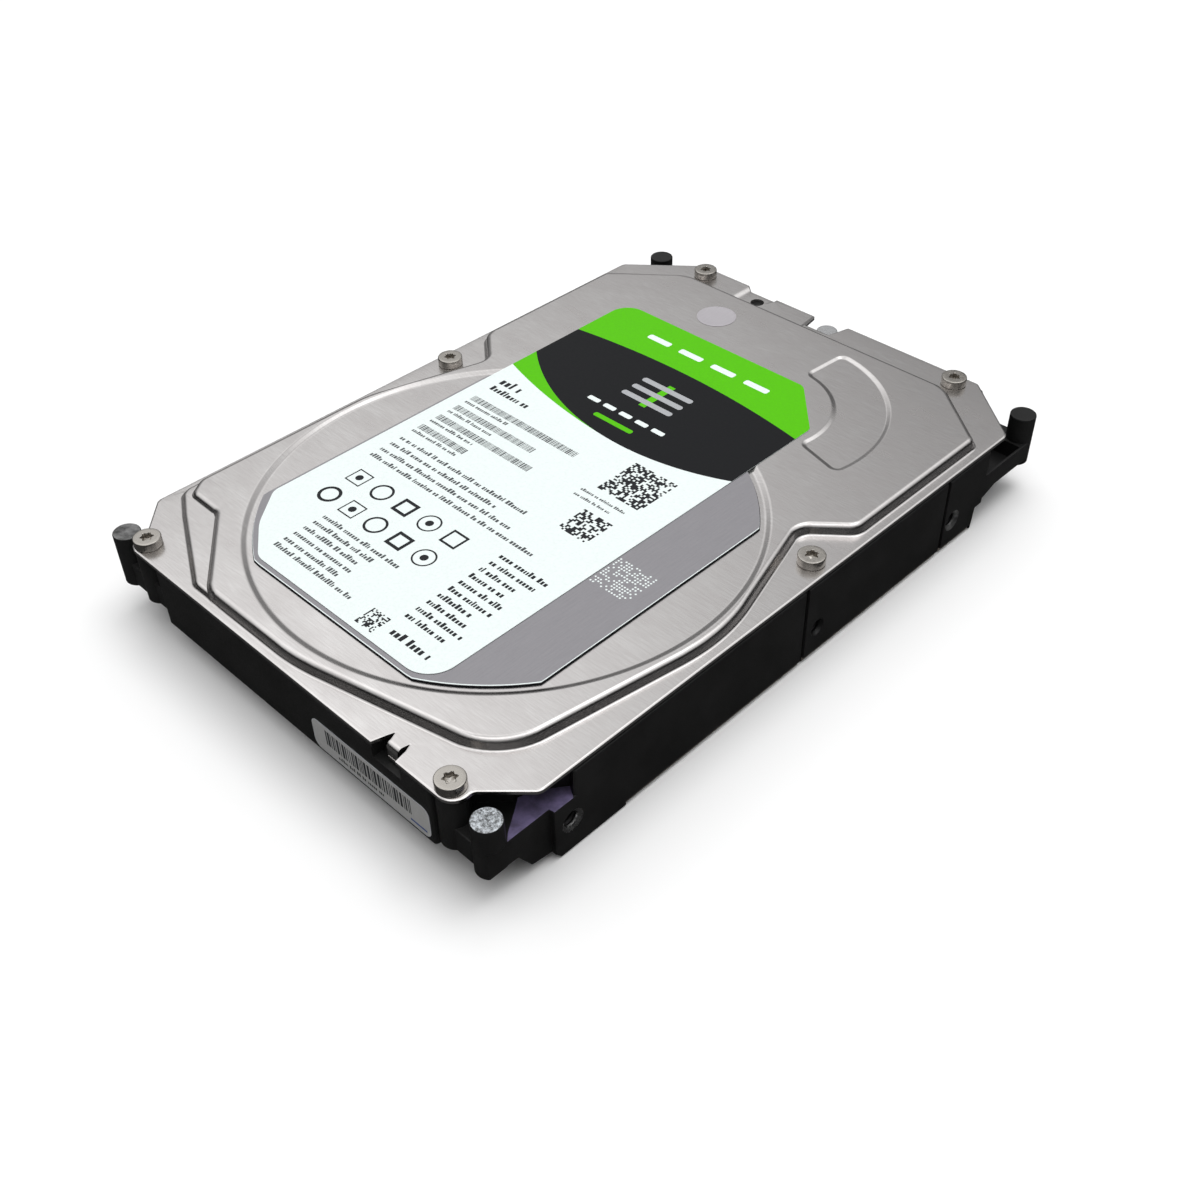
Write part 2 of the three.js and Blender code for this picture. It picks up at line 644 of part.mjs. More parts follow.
const CLAMP_SCREW_ANGLES = [30, 150, 270];
const CLAMP_SCREW_REACH = 8.5;
const clampHoles = (bottom) =>
  CLAMP_SCREW_ANGLES.map((angle) => drumAt(polar(SPINDLE, CLAMP_SCREW_REACH, angle), 1.1, bottom, 18, 10));

function spindleHub() {
  const bore = SHAFT_RADIUS + RUNNING_GAP;
  const hub = turned(SPINDLE, [
    [bore, 7.4],
    [4.2, 7.4],
    [4.2, 11.3],
    [11.0, 11.3],
    [11.0, 7.4],
    [HUB_RADIUS, 7.4],
    [HUB_RADIUS, 8.6],
    [HUB_FLANGE, 8.6],
    [HUB_FLANGE, DISC_LOWER_Z - 0.03],
    [HUB_RADIUS, DISC_LOWER_Z - 0.03],
    [HUB_RADIUS, HUB_TOP],
    [4.0, HUB_TOP],
    [4.0, 15.6],
    [bore, 15.6],
  ], 28);
  const holes = clampHoles(11.9);
  return cut(hub, ...holes);
}

const disc = (bottom) => tube(SPINDLE, DISC_BORE, DISC_RADIUS, bottom, bottom + DISC_THICKNESS, 48);
const discSpacer = () =>
  tube(SPINDLE, DISC_BORE, 15.2, DISC_LOWER_Z + DISC_THICKNESS + 0.02, DISC_UPPER_Z - 0.02, 28);

function discClamp() {
  const seat = DISC_UPPER_Z + DISC_THICKNESS + 0.02;
  const clamp = turned(SPINDLE, [
    [4.4, seat + 0.1],
    [13.2, seat + 0.1],
    [13.2, seat],
    [15.4, seat],
    [15.4, seat + 0.9],
    [12.4, seat + 1.3],
    [4.4, seat + 1.3],
  ], 28);
  const holes = clampHoles(12);
  return cut(clamp, ...holes);
}

const CLAMP_HEAD = { radius: 1.8, height: 0.8, socket: 0.7 };
function clampScrew(angle) {
  const at = polar(SPINDLE, CLAMP_SCREW_REACH, angle);
  return panScrew(at.x, at.y, DISC_UPPER_Z + DISC_THICKNESS + 1.34, CLAMP_HEAD, 0.8, 3.8);
}

// ---- Head actuator, drawn parked ----------------------------------------------------------------

// Turns a solid drawn with its arm along +X at the origin into the parked place on the pivot.
const parked = (solid) => solid.rotate([0, 0, PARKED_ARM]).translate([PIVOT.x, PIVOT.y, 0]);
const ORIGIN = new THREE.Vector2(0, 0);

function actuatorArm() {
  const armPlan = rounded([
    [0, -7.4, 0],
    [14, -5.4, 12],
    [ARM_REACH, -3.2, 1.5],
    [ARM_REACH, 3.2, 1.5],
    [14, 5.4, 12],
    [0, 7.4, 0],
  ]);
  const window = rounded([[12, -2.6, 1], [26, -1.2, 0.8], [26, 1.2, 0.8], [12, 2.6, 1]]);
  const arms = ARM_LEVELS.map(([bottom, top]) => cut(prism(armPlan, bottom, top), prism(window, 0, 20)));
  const forkPlan =
    sectorPoints(ORIGIN, 6.5, COIL.outer + 0.9, 180 - FORK_HALF_ANGLE, 180 + FORK_HALF_ANGLE);
  const coilOpening = sectorPoints(ORIGIN, COIL.inner - 0.3, 30, 160.4, 199.6);
  const fork = cut(prism(forkPlan, 11.0, 13.0), prism(coilOpening, 9, 15));
  const blockBody = drum(0, 0, BLOCK_RADIUS, ARM_LEVELS[0][0], ARM_LEVELS[2][1], 28);
  const bore = drum(0, 0, CARTRIDGE_RADIUS + 0.25, 5, 20, 24);
  return parked(cut(join(blockBody, ...arms, fork), bore));
}

function voiceCoil() {
  const outer = sectorPoints(ORIGIN, COIL.inner, COIL.outer, 180 - COIL.halfAngle, 180 + COIL.halfAngle);
  const opening = sectorPoints(ORIGIN, COIL.inner + 3, COIL.outer - 3, 180 - 11.5, 180 + 11.5);
  return parked(cut(prism(outer, COIL.bottom, COIL.top), prism(opening, COIL.bottom - 1, COIL.top + 1)));
}

const bearingCartridge = () =>
  parked(tube(ORIGIN, SHAFT_RADIUS + RUNNING_GAP, CARTRIDGE_RADIUS, 7.9, 16.7, 24));
const pivotShaft = () => join(
  drumAt(PIVOT, SHAFT_RADIUS, PIVOT_SEAT.top + 0.02, 17.4, 20),
  drumAt(PIVOT, PIVOT_PIN.radius, PIVOT_PIN.bottom, PIVOT_SEAT.top + 0.1),
);

// A tapered leaf spring on the arm's end, with the slider on the side that faces its disc.
function suspension(level, facing) {
  const leaf = prism(rounded([
    [ARM_REACH - 6, -2.6, 0.6],
    [ARM_REACH + 2, -2.6, 2],
    [HEAD_REACH - 1, -0.9, 0.4],
    [HEAD_REACH + 1.6, -0.4, 0.2],
    [HEAD_REACH + 1.6, 0.4, 0.2],
    [HEAD_REACH - 1, 0.9, 0.4],
    [ARM_REACH + 2, 2.6, 2],
    [ARM_REACH - 6, 2.6, 0.6],
  ]), level, level + 0.18);
  const sliderBottom = facing > 0 ? level + 0.1 : level - 0.35;
  const slider = block(HEAD_REACH - 0.6, HEAD_REACH + 0.6, -0.5, 0.5, sliderBottom, sliderBottom + 0.43);
  return parked(join(leaf, slider));
}

// Levels of the four suspensions, and the side of each that faces its disc.
const SUSPENSIONS = [
  { level: ARM_LEVELS[0][1] + 0.02, facing: 1 },
  { level: ARM_LEVELS[1][0] - 0.2, facing: -1 },
  { level: ARM_LEVELS[1][1] + 0.02, facing: 1 },
  { level: ARM_LEVELS[2][0] - 0.2, facing: -1 },
];

// ---- Voice-coil motor and stops -----------------------------------------------------------------

function yokePlate(levels) {
  const holes = YOKE_SCREW.angles.map((angle) => drumAt(polar(PIVOT, YOKE_SCREW.reach, angle), 1.4, 0, 20));
  return cut(sector(YOKE, levels), ...holes);
}

const YOKE_HEAD = { radius: 1.9, height: 0.9, socket: 0.8 };
function yokeScrew(angle) {
  const at = polar(PIVOT, YOKE_SCREW.reach, angle);
  return panScrew(at.x, at.y, YOKE.upper[1] + 0.02, YOKE_HEAD, 1.1, 11.6);
}

function crashStop(angle) {
  const at = polar(PIVOT, STOP.reach, angle);
  return drumAt(at, STOP.radius, YOKE.lower[1] + 0.02, YOKE.upper[0] - 0.02, 16);
}

const RAMP_SCREW = polar(PIVOT, HEAD_REACH + 1.6, 198.2).toArray();

// Comb beside the parked lift tabs: a post with one finger below or above each tab.
function loadRamp() {
  const post = prism(
    sectorPoints(PIVOT, HEAD_REACH + 2.1, HEAD_REACH + 5, 200.5, 207), DECK_TOP + 0.02, 16.2);
  const finger = (bottom, top) =>
    prism(sectorPoints(PIVOT, HEAD_REACH + 1.0, HEAD_REACH + 3, 203, 206.6), bottom, top);
  const foot = prism(sectorPoints(PIVOT, HEAD_REACH - 1, HEAD_REACH + 5, 195.5, 202), DECK_TOP + 0.02, 7.8);
  const hole = drum(...RAMP_SCREW, 1.3, 5, 9, 12);
  return cut(
    join(post, foot, finger(8.4, 8.95), finger(11.0, 11.5), finger(13.1, 13.45), finger(15.6, 16.1)),
    hole,
  );
}

const RAMP_HEAD = { radius: 1.7, height: 0.8, socket: 0.7 };

const LATCH_PIN = [39.5, 21.0];
function actuatorLatch() {
  const lever = prism(rounded([
    [-2.0, 0, 0],
    [2.0, 0, 0],
    [1.2, 8.0, 0.8],
    [-3.2, 9.2, 0.4],
    [-3.2, 7.6, 0],
    [-1.0, 6.4, 0],
  ]), 10.4, 12.6);
  const hub = drum(0, 0, 2.4, 9.4, 13.6, 20);
  return cut(join(lever, hub), drum(0, 0, 1.3, 0, 20, 16)).translate([...LATCH_PIN, 0]);
}

// ---- Cable and filters --------------------------------------------------------------------------

function flexCable() {
  const curve = new THREE.CubicBezierCurve(
    new THREE.Vector2(-17.6, 41.5),
    new THREE.Vector2(-6, 41.5),
    new THREE.Vector2(-14, 52),
    new THREE.Vector2(1.0, 44.6),
  );
  return ribbon(curve, 0.25, 9.6, 14.6, 16);
}

function flexBracket() {
  return join(
    block(-32, -18.2, 34, 46, DECK_TOP + 0.02, 9.2),
    block(-20.2, -18.2, 36, 45, 9.0, 15.2),
  );
}

function recirculationFilter() {
  const pad = block(-1.4, 1.4, -4.2, 4.2, DECK_TOP + 0.02, 15.5);
  return pad.rotate([0, 0, -43.5]).translate([37.4, -57.6, 0]);
}

const breatherFilter = () =>
  prism(rounded([[-26, 49, 2], [-8, 49, 2], [-8, 60, 2], [-26, 60, 2]]), DECK_TOP + 0.02, 12.5);

// ---- Assembly -----------------------------------------------------------------------------------

const drive = new THREE.Group();

function addPiece(name, solid, material) {
  const mesh = new THREE.Mesh(toGeometry(solid), material);
  mesh.name = name;
  drive.add(mesh);
}

addPiece('base_casting', baseCasting(), FINISH.blackCasting);
addPiece('top_cover', topCover(), FINISH.satinSteel);
addPiece('cover_gasket', coverGasket(), FINISH.rubber);
COVER_SCREWS.forEach((at, i) => addPiece(`cover_screw_${i + 1}`, coverScrew(at), FINISH.screwSteel));
addPiece('top_label', topLabel(), FINISH.paper);
addPiece('cover_foil', coverFoil(), FINISH.greyFoil);
addPiece('bar_label', barLabel(), FINISH.paper);
addPiece('port_seal', portSeal(), FINISH.seal);

addPiece('circuit_board', circuitBoard(), FINISH.board);
addPiece('board_foam', boardFoam(), FINISH.foam);
BOARD_SCREWS.forEach((at, i) => addPiece(`board_screw_${i + 1}`, boardScrew(at), FINISH.screwSteel));
addPiece('plug_connector', plugConnector(), FINISH.blackPlastic);
addPiece('jumper_block', jumperBlock(), FINISH.blackPlastic);
addPiece('controller_chip', chip(-4, 30, 14, 14), FINISH.chip);
addPiece('memory_chip', chip(-24, 34, 9, 12), FINISH.chip);
addPiece('motor_driver_chip', chip(20, 24, 10, 10), FINISH.chip);

addPiece('spindle_shaft', spindleShaft(), FINISH.nickel);
addPiece('stator', stator(), FINISH.copper);
addPiece('spindle_hub', spindleHub(), FINISH.aluminium);
addPiece('rotor_magnet', rotorMagnet(), FINISH.ironCore);
addPiece('disc_lower', disc(DISC_LOWER_Z), FINISH.mirrorDisc);
addPiece('disc_spacer', discSpacer(), FINISH.aluminium);
addPiece('disc_upper', disc(DISC_UPPER_Z), FINISH.mirrorDisc);
addPiece('disc_clamp', discClamp(), FINISH.satinSteel);
CLAMP_SCREW_ANGLES.forEach((angle, i) =>
  addPiece(`clamp_screw_${i + 1}`, clampScrew(angle), FINISH.screwSteel));

addPiece('pivot_shaft', pivotShaft(), FINISH.nickel);
addPiece('bearing_cartridge', bearingCartridge(), FINISH.nickel);
addPiece('actuator_arm', actuatorArm(), FINISH.aluminium);
addPiece('voice_coil', voiceCoil(), FINISH.copper);
SUSPENSIONS.forEach(({ level, facing }, i) =>
  addPiece(`head_suspension_${i + 1}`, suspension(level, facing), FINISH.satinSteel));

addPiece('lower_yoke', yokePlate(YOKE.lower), FINISH.nickel);
addPiece('upper_yoke', yokePlate(YOKE.upper), FINISH.nickel);
addPiece('lower_magnet', sector(MAGNET, MAGNET.lower), FINISH.ironCore);
addPiece('upper_magnet', sector(MAGNET, MAGNET.upper), FINISH.ironCore);
YOKE_SCREW.angles.forEach((angle, i) => addPiece(`yoke_screw_${i + 1}`, yokeScrew(angle), FINISH.screwSteel));
STOP.angles.forEach((angle, i) => addPiece(`crash_stop_${i + 1}`, crashStop(angle), FINISH.rubber));

addPiece('load_ramp', loadRamp(), FINISH.palePlastic);
addPiece('ramp_screw', panScrew(...RAMP_SCREW, 7.82, RAMP_HEAD, 1.0, 1.1), FINISH.screwSteel);
addPiece('latch_pin', drum(...LATCH_PIN, 1.0, DECK_TOP + 0.02, 14.2, 16), FINISH.nickel);
addPiece('actuator_latch', actuatorLatch(), FINISH.blackPlastic);
addPiece('flex_cable', flexCable(), FINISH.flex);
addPiece('flex_bracket', flexBracket(), FINISH.blackPlastic);
addPiece('recirculation_filter', recirculationFilter(), FINISH.filter);
addPiece('breather_filter', breatherFilter(), FINISH.filter);

export default drive;
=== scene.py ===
import json
import math
import random

import bpy
import numpy as np
from mathutils import Matrix, Vector
from mathutils.geometry import delaunay_2d_cdt

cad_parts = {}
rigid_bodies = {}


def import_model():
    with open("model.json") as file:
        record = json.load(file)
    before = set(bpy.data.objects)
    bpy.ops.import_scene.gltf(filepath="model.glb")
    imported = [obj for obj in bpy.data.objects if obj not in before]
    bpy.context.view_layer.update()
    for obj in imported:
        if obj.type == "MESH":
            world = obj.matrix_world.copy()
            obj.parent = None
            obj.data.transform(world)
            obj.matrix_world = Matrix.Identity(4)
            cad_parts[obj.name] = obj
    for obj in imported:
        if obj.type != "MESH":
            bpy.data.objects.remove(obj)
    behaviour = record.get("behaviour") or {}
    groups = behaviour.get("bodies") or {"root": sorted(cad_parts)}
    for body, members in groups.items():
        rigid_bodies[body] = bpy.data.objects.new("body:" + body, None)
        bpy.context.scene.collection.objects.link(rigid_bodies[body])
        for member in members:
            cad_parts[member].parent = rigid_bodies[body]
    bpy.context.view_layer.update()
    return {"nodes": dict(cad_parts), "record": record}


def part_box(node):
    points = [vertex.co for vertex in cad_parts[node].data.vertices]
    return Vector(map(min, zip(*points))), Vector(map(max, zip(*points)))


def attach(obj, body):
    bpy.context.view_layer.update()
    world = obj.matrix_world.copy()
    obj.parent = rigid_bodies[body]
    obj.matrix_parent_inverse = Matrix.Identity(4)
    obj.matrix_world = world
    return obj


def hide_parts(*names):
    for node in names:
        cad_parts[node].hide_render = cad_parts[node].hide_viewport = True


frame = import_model()

MM = 0.001
HOUSING = "housing"
rng = random.Random(20)


def box_mm(node):
    """The lowest and the highest corner of a CAD node."""
    low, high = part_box(node)
    return np.array(low) / MM, np.array(high) / MM


def middle_mm(node):
    low, high = box_mm(node)
    return (low + high) / 2


# ---- Sizes, worked out from the frame -----------------------------------------------------------

CASE_LOW, CASE_HIGH = box_mm("base_casting")
COVER_LOW, COVER_HIGH = box_mm("top_cover")
HALF_WIDTH = CASE_HIGH[0]
FRONT_FACE = box_mm("bar_label")[1][1] + 0.01
PLATEAU = COVER_HIGH[2]
SHEET = 0.6
FLANGE = PLATEAU - 2.05
FIELD_RISE = PLATEAU - FLANGE
SHELF_RISE = 1.0
RECESS_DEPTH = 0.45
POCKET_DEPTH = 0.32
COVER_FRONT = COVER_LOW[1]
COVER_REAR = COVER_HIGH[1]
COVER_EDGE = COVER_HIGH[0]
SPINDLE = middle_mm("disc_upper")[:2]
PIVOT = middle_mm("bearing_cartridge")[:2]
RIM_TOP = FLANGE - 1.3
LEDGE_TOP = 11.3
DECK_UNDER = 4.7
DECK_TOP = 6.6

# ---- Plane outlines -----------------------------------------------------------------------------

ARC_STEP = 6.0
ARC_CHORD = 1.6


def unit(vector):
    return vector / np.linalg.norm(vector)


def polar(centre, radius, degrees):
    angle = math.radians(degrees)
    return np.array([centre[0] + radius * math.cos(angle), centre[1] + radius * math.sin(angle)])


def arc(centre, radius, start, end, count=None):
    """Points along an arc, both ends included."""
    if count is None:
        length = abs(math.radians(end - start)) * radius
        count = max(2, math.ceil(abs(end - start) / ARC_STEP), math.ceil(length / ARC_CHORD))
    return [polar(centre, radius, start + (end - start) * k / count) for k in range(count + 1)]


def circle(centre, radius, count=64):
    return np.array(arc(centre, radius, 0, 360, count)[:-1])


def rounded(corners):
    """Points of a closed anticlockwise outline whose corners are (x, y, radius)."""
    points = []
    for i, (x, y, radius) in enumerate(corners):
        corner = np.array([x, y], float)
        if radius <= 0:
            points.append(corner)
            continue
        to_before = unit(np.array(corners[i - 1][:2]) - corner)
        to_after = unit(np.array(corners[(i + 1) % len(corners)][:2]) - corner)
        half = math.acos(np.clip(to_before @ to_after, -1, 1)) / 2
        centre = corner + unit(to_before + to_after) * radius / math.sin(half)
        reach = radius / math.tan(half)
        first = corner + to_before * reach - centre
        last = corner + to_after * reach - centre
        start = math.degrees(math.atan2(first[1], first[0]))
        sweep = (math.degrees(math.atan2(last[1], last[0])) - start + 180) % 360 - 180
        points += arc(centre, radius, start, start + sweep)
    return np.array(points)


def rectangle(x0, y0, x1, y1, radius=0.0):
    return rounded([(x0, y0, radius), (x1, y0, radius), (x1, y1, radius), (x0, y1, radius)])


def mirrored(corners):
    return [(-x, y, radius) for x, y, radius in reversed(corners)]


def moved_out(outline, distance):
    """An outline moved outwards by a distance, parallel to itself."""
    edge = np.roll(outline, -1, 0) - outline
    edge /= np.linalg.norm(edge, axis=1)[:, None]
    after = np.stack([edge[:, 1], -edge[:, 0]], 1)
    before = np.roll(after, 1, 0)
    spread = np.maximum(1 + (before * after).sum(1), 0.35)
    return outline + (before + after) * (distance / spread)[:, None]


def inside(points, outline):
    x, y = points[:, :1], points[:, 1:]
    x0, y0 = outline.T
    x1, y1 = np.roll(outline, -1, 0).T
    rise = np.where(y1 == y0, 1, y1 - y0)
    crossed = ((y0 > y) != (y1 > y)) & (x < x0 + (y - y0) * (x1 - x0) / rise)
    return crossed.sum(1) % 2 == 1


def outside_by(points, outline):
    """Each point's distance to an outline, negative inside it."""
    step = np.roll(outline, -1, 0) - outline
    to_point = points[:, None] - outline[None]
    share = np.clip((to_point * step).sum(2) / (step * step).sum(1), 0, 1)
    distance = np.linalg.norm(to_point - share[..., None] * step, axis=2).min(1)
    return np.where(inside(points, outline), -distance, distance)


def smooth(value, start, end):
    """0 up to start and 1 from end on, with a soft rise between."""
    share = np.clip((value - start) / (end - start), 0, 1)
    return share * share * (3 - 2 * share)


def rounded_sector(centre, inner, outer, start, end, corner):
    """Outline of part of a ring, with rounded corners."""
    at_outer = math.degrees(math.asin(corner / (outer - corner)))
    at_inner = math.degrees(math.asin(corner / (inner + corner)))
    points = arc(centre, outer, start + at_outer, end - at_outer)
    points += arc(polar(centre, outer - corner, end - at_outer), corner, end - at_outer, end + 90)[1:]
    points += arc(polar(centre, inner + corner, end - at_inner), corner, end + 90, end - at_inner + 180)
    points += arc(centre, inner, end - at_inner, start + at_inner)[1:]
    points += arc(polar(centre, inner + corner, start + at_inner), corner, start + at_inner + 180, start + 270)[1:]
    points += arc(polar(centre, outer - corner, start + at_outer), corner, start - 90, start + at_outer)[:-1]
    return np.array(points)


# ---- Mesh makers --------------------------------------------------------------------------------

SMOOTH_ANGLE = 34.0


def add_piece(name, vertices, faces, finish, body=HOUSING, slot=None, replaces=(), face_finish=None,
              smooth_angle=SMOOTH_ANGLE):
    """A new piece from vertices in millimetres. finish is one material or a list, indexed by face_finish."""
    mesh = bpy.data.meshes.new(name)
    mesh.from_pydata((np.asarray(vertices, float) * MM).tolist(), [], [list(map(int, f)) for f in faces])
    for one in finish if isinstance(finish, list) else [finish]:
        mesh.materials.append(one)
    if face_finish is not None:
        mesh.polygons.foreach_set("material_index", np.asarray(face_finish, np.int32))
    mesh.polygons.foreach_set("use_smooth", [True] * len(mesh.polygons))
    mesh.set_sharp_from_angle(angle=math.radians(smooth_angle))
    piece = bpy.data.objects.new(name, mesh)
    bpy.context.scene.collection.objects.link(piece)
    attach(piece, body)
    if replaces:
        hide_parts(*replaces)
    return piece


def keep_flats_flat(piece):
    """Shades by face area, so that a narrow rounding does not tint the wide flat beside it."""
    weighted = piece.modifiers.new("flat_shading", "WEIGHTED_NORMAL")
    weighted.weight = 100
    weighted.keep_sharp = True


class Mesh:
    """Vertices and faces gathered from several closed shells."""

    def __init__(self):
        self.vertices, self.faces, self.finish = [], [], []

    def add(self, vertices, faces, finish=0):
        start = len(self.vertices)
        self.vertices += [tuple(v) for v in vertices]
        self.faces += [[start + i for i in face] for face in faces]
        self.finish += [finish] * len(faces)
        return self

    def piece(self, name, finish, **options):
        return add_piece(name, self.vertices, self.faces, finish, face_finish=self.finish, **options)


def stacked_rings(rings):
    """A closed shell through rings of equal count: the first and the last are capped."""
    count = len(rings[0])
    vertices = np.concatenate(rings)
    faces = [list(range(count))[::-1]]
    for level in range(len(rings) - 1):
        for k in range(count):
            a, b = level * count + k, level * count + (k + 1) % count
            faces.append([a, b, b + count, a + count])
    faces.append([(len(rings) - 1) * count + k for k in range(count)])
    return vertices, faces


def lift(outline, height):
    return np.column_stack([outline, np.full(len(outline), float(height))])


def prism(outline, bottom, top, bevel=0.0, segments=2):
    """An upright prism over an outline, with rounded edges round its top and its bottom."""
    if bevel <= 0:
        return stacked_rings([lift(outline, bottom), lift(outline, top)])
    turns = [math.radians(90 * k / segments) for k in range(segments + 1)]
    steps = [(-bevel * (1 - math.sin(t)), bevel * (1 - math.cos(t))) for t in turns]
    low = [lift(moved_out(outline, inset), bottom + rise) for inset, rise in steps]
    high = [lift(moved_out(outline, inset), top - rise) for inset, rise in reversed(steps)]
    return stacked_rings(low + high)


def block(x0, x1, y0, y1, z0, z1, bevel=0.0):
    return prism(rectangle(x0, y0, x1, y1), z0, z1, bevel)


def turned(centre, profile, count=64):
    """A body of revolution about an upright axis, from (radius, z) points running round its section."""
    angles = np.radians(np.arange(count) * 360 / count)
    rings = [np.column_stack([centre[0] + r * np.cos(angles), centre[1] + r * np.sin(angles),
                              np.full(count, float(z))]) for r, z in profile]
    vertices, faces = stacked_rings(rings)
    return vertices, faces


def hollow_turned(centre, profile, count=64):
    """A ring: like turned, but its section closes on itself and leaves a bore."""
    vertices, faces = turned(centre, profile, count)
    last = (len(profile) - 1) * count
    joined = [[last + k, last + (k + 1) % count, (k + 1) % count, k] for k in range(count)]
    return vertices, faces[1:-1] + joined


def on_side(vertices, side, x, y, z):
    """Turns a shell built upright round the origin so that its axis points out of a side face."""
    v = np.asarray(vertices, float)
    return np.column_stack([x + side * v[:, 2], y + v[:, 0], z + side * v[:, 1]])


def triangulated(loops, lines=()):
    """Triangles of the convex area of some closed loops, with every loop and line kept as edges."""
    coords, edges = [], []
    for loop in loops:
        start, count = len(coords), len(loop)
        coords += [tuple(p) for p in loop]
        edges += [(start + k, start + (k + 1) % count) for k in range(count)]
    for line in lines:
        start = len(coords)
        coords += [tuple(p) for p in line]
        edges += [(start + k, start + k + 1) for k in range(len(line) - 1)]
    points, _, triangles, *_ = delaunay_2d_cdt(coords, edges, [], 0, 1e-5, False)
    points = np.array([tuple(p) for p in points])
    triangles = np.array(triangles)
    a, b, c = (points[triangles[:, k]] for k in range(3))
    area = (b[:, 0] - a[:, 0]) * (c[:, 1] - a[:, 1]) - (b[:, 1] - a[:, 1]) * (c[:, 0] - a[:, 0])
    triangles[area < 0] = triangles[area < 0][:, ::-1]
    return points, triangles[np.abs(area) > 1e-9], (a + b + c)[np.abs(area) > 1e-9] / 3


def slab(points, triangles, top, bottom):
    """Closed shell between two sheets over the same triangles. Faces run: top, bottom, sides."""
    used, flat = np.unique(triangles, return_inverse=True)
    triangles = flat.reshape(-1, 3)
    count = len(used)
    directed = {(t[k], t[(k + 1) % 3]) for t in triangles.tolist() for k in range(3)}
    rim = sorted(edge for edge in directed if edge[::-1] not in directed)
    sides = [[b, a, a + count, b + count] for a, b in rim]
    faces = triangles.tolist() + (triangles[:, ::-1] + count).tolist() + sides
    return np.concatenate([top[used], bottom[used]]), faces


# ---- Node helpers for materials -----------------------------------------------------------------


class Finish:
    """A procedural material: nodes are added by kind, and sockets are values or other nodes' outputs."""

    def __init__(self, name, **shader):
        self.material = bpy.data.materials.new(name)
        self.material.use_nodes = True
        self.tree = self.material.node_tree
        self.shader = self.tree.nodes["Principled BSDF"] if self.tree.nodes.get("Principled BSDF") else None
        self.place = self.add("ShaderNodeTexCoord").outputs["Object"]
        self.set(**shader)

    def add(self, kind, values=None, **settings):
        made = self.tree.nodes.new(kind)
        for key, value in settings.items():
            setattr(made, key, value)
        for key, value in (values or {}).items():
            self.link(value, made.inputs[key])
        return made

    def link(self, value, socket):
        if isinstance(value, bpy.types.NodeSocket):
            self.tree.links.new(value, socket)
        else:
            socket.default_value = value

    def set(self, **values):
        names = {"colour": "Base Color", "rough": "Roughness", "metal": "Metallic",
                 "specular": "Specular IOR Level", "normal": "Normal", "coat": "Coat Weight",
                 "coat_rough": "Coat Roughness", "aniso": "Anisotropic"}
        for key, value in values.items():
            self.link(value, self.shader.inputs[names[key]])
        return self

    def noise(self, size, detail=3.0, roughness=0.55):
        """Noise with features of a size in millimetres: one number, or one for each axis."""
        sizes = size if isinstance(size, tuple) else (size, size, size)
        stretched = self.add("ShaderNodeMapping", {"Vector": self.place,
                                                   "Scale": tuple(1 / (s * MM) for s in sizes)})
        made = self.add("ShaderNodeTexNoise", {"Vector": stretched.outputs["Vector"], "Scale": 1.0,
                                               "Detail": detail, "Roughness": roughness})
        return made.outputs["Fac"]

    def between(self, value, low, high, start=0.3, end=0.7):
        """A socket's value taken from start..end to low..high."""
        made = self.add("ShaderNodeMapRange", {"Value": value, "From Min": start, "From Max": end,
                                               "To Min": low, "To Max": high})
        return made.outputs["Result"]

    def mix(self, share, first, second):
        made = self.add("ShaderNodeMix", data_type="RGBA")
        self.link(share, made.inputs["Factor"])
        self.link(first, made.inputs["A"] if False else made.inputs[6])
        self.link(second, made.inputs[7])
        return made.outputs[2]

    def bump(self, height, depth, strength=1.0, normal=None):
        """Bump whose full height is a depth in millimetres."""
        values = {"Height": height, "Distance": depth * MM, "Strength": strength}
        if normal is not None:
            values["Normal"] = normal
        return self.add("ShaderNodeBump", values).outputs["Normal"]

    def soft_edges(self, radius):
        """Normals as if every edge had a small rounding, of a radius in millimetres."""
        return self.add("ShaderNodeBevel", {"Radius": radius * MM}, samples=4).outputs["Normal"]


def grey(value, warm=0.0):
    return (value * (1 + warm), value, value * (1 - warm), 1.0)


def colour(red, green, blue):
    """A colour from its linear red, green and blue."""
    return (red, green, blue, 1.0)


def satin_steel(name="satin_steel_finish", tone=0.69, base_rough=0.23):
    made = Finish(name, metal=1.0)
    grain = made.noise((3.2, 0.26, 1.0), 1.0)
    cloud = made.noise((9.0, 5.0, 9.0), 3.0)
    shade = made.mix(made.between(grain, 0, 1), colour(tone * 0.92, tone * 0.89, tone * 0.88),
                     colour(tone * 1.02, tone * 1.0, tone * 0.99))
    worn = colour(tone * 0.86, tone * 0.82, tone * 0.81)
    made.set(colour=made.mix(made.between(cloud, 0.0, 0.5), shade, worn),
             rough=made.between(cloud, base_rough - 0.03, base_rough + 0.05))
    return made.material


def black_casting():
    made = Finish("black_casting_finish", specular=0.26)
    grain = made.noise(0.22, 3.0)
    cloud = made.noise(6.0, 2.0)
    made.set(colour=made.mix(made.between(cloud, 0, 1), grey(0.0085), colour(0.0135, 0.0135, 0.0135)),
             rough=made.between(grain, 0.34, 0.48),
             normal=made.bump(grain, 0.02, 0.5, made.soft_edges(0.18)))
    return made.material


def bare_casting():
    """Milled aluminium showing on the post tops, with coarse bright facets."""
    made = Finish("bare_casting_finish", metal=0.9)
    coarse = made.noise(0.55, 4.0, 0.75)
    fine = made.noise(0.2, 2.0)
    made.set(colour=made.mix(made.between(coarse, 0, 1, 0.42, 0.6), grey(0.14, -0.03), colour(0.66, 0.70, 0.74)),
             rough=made.between(fine, 0.25, 0.5),
             normal=made.bump(coarse, 0.12, 0.8))
    return made.material


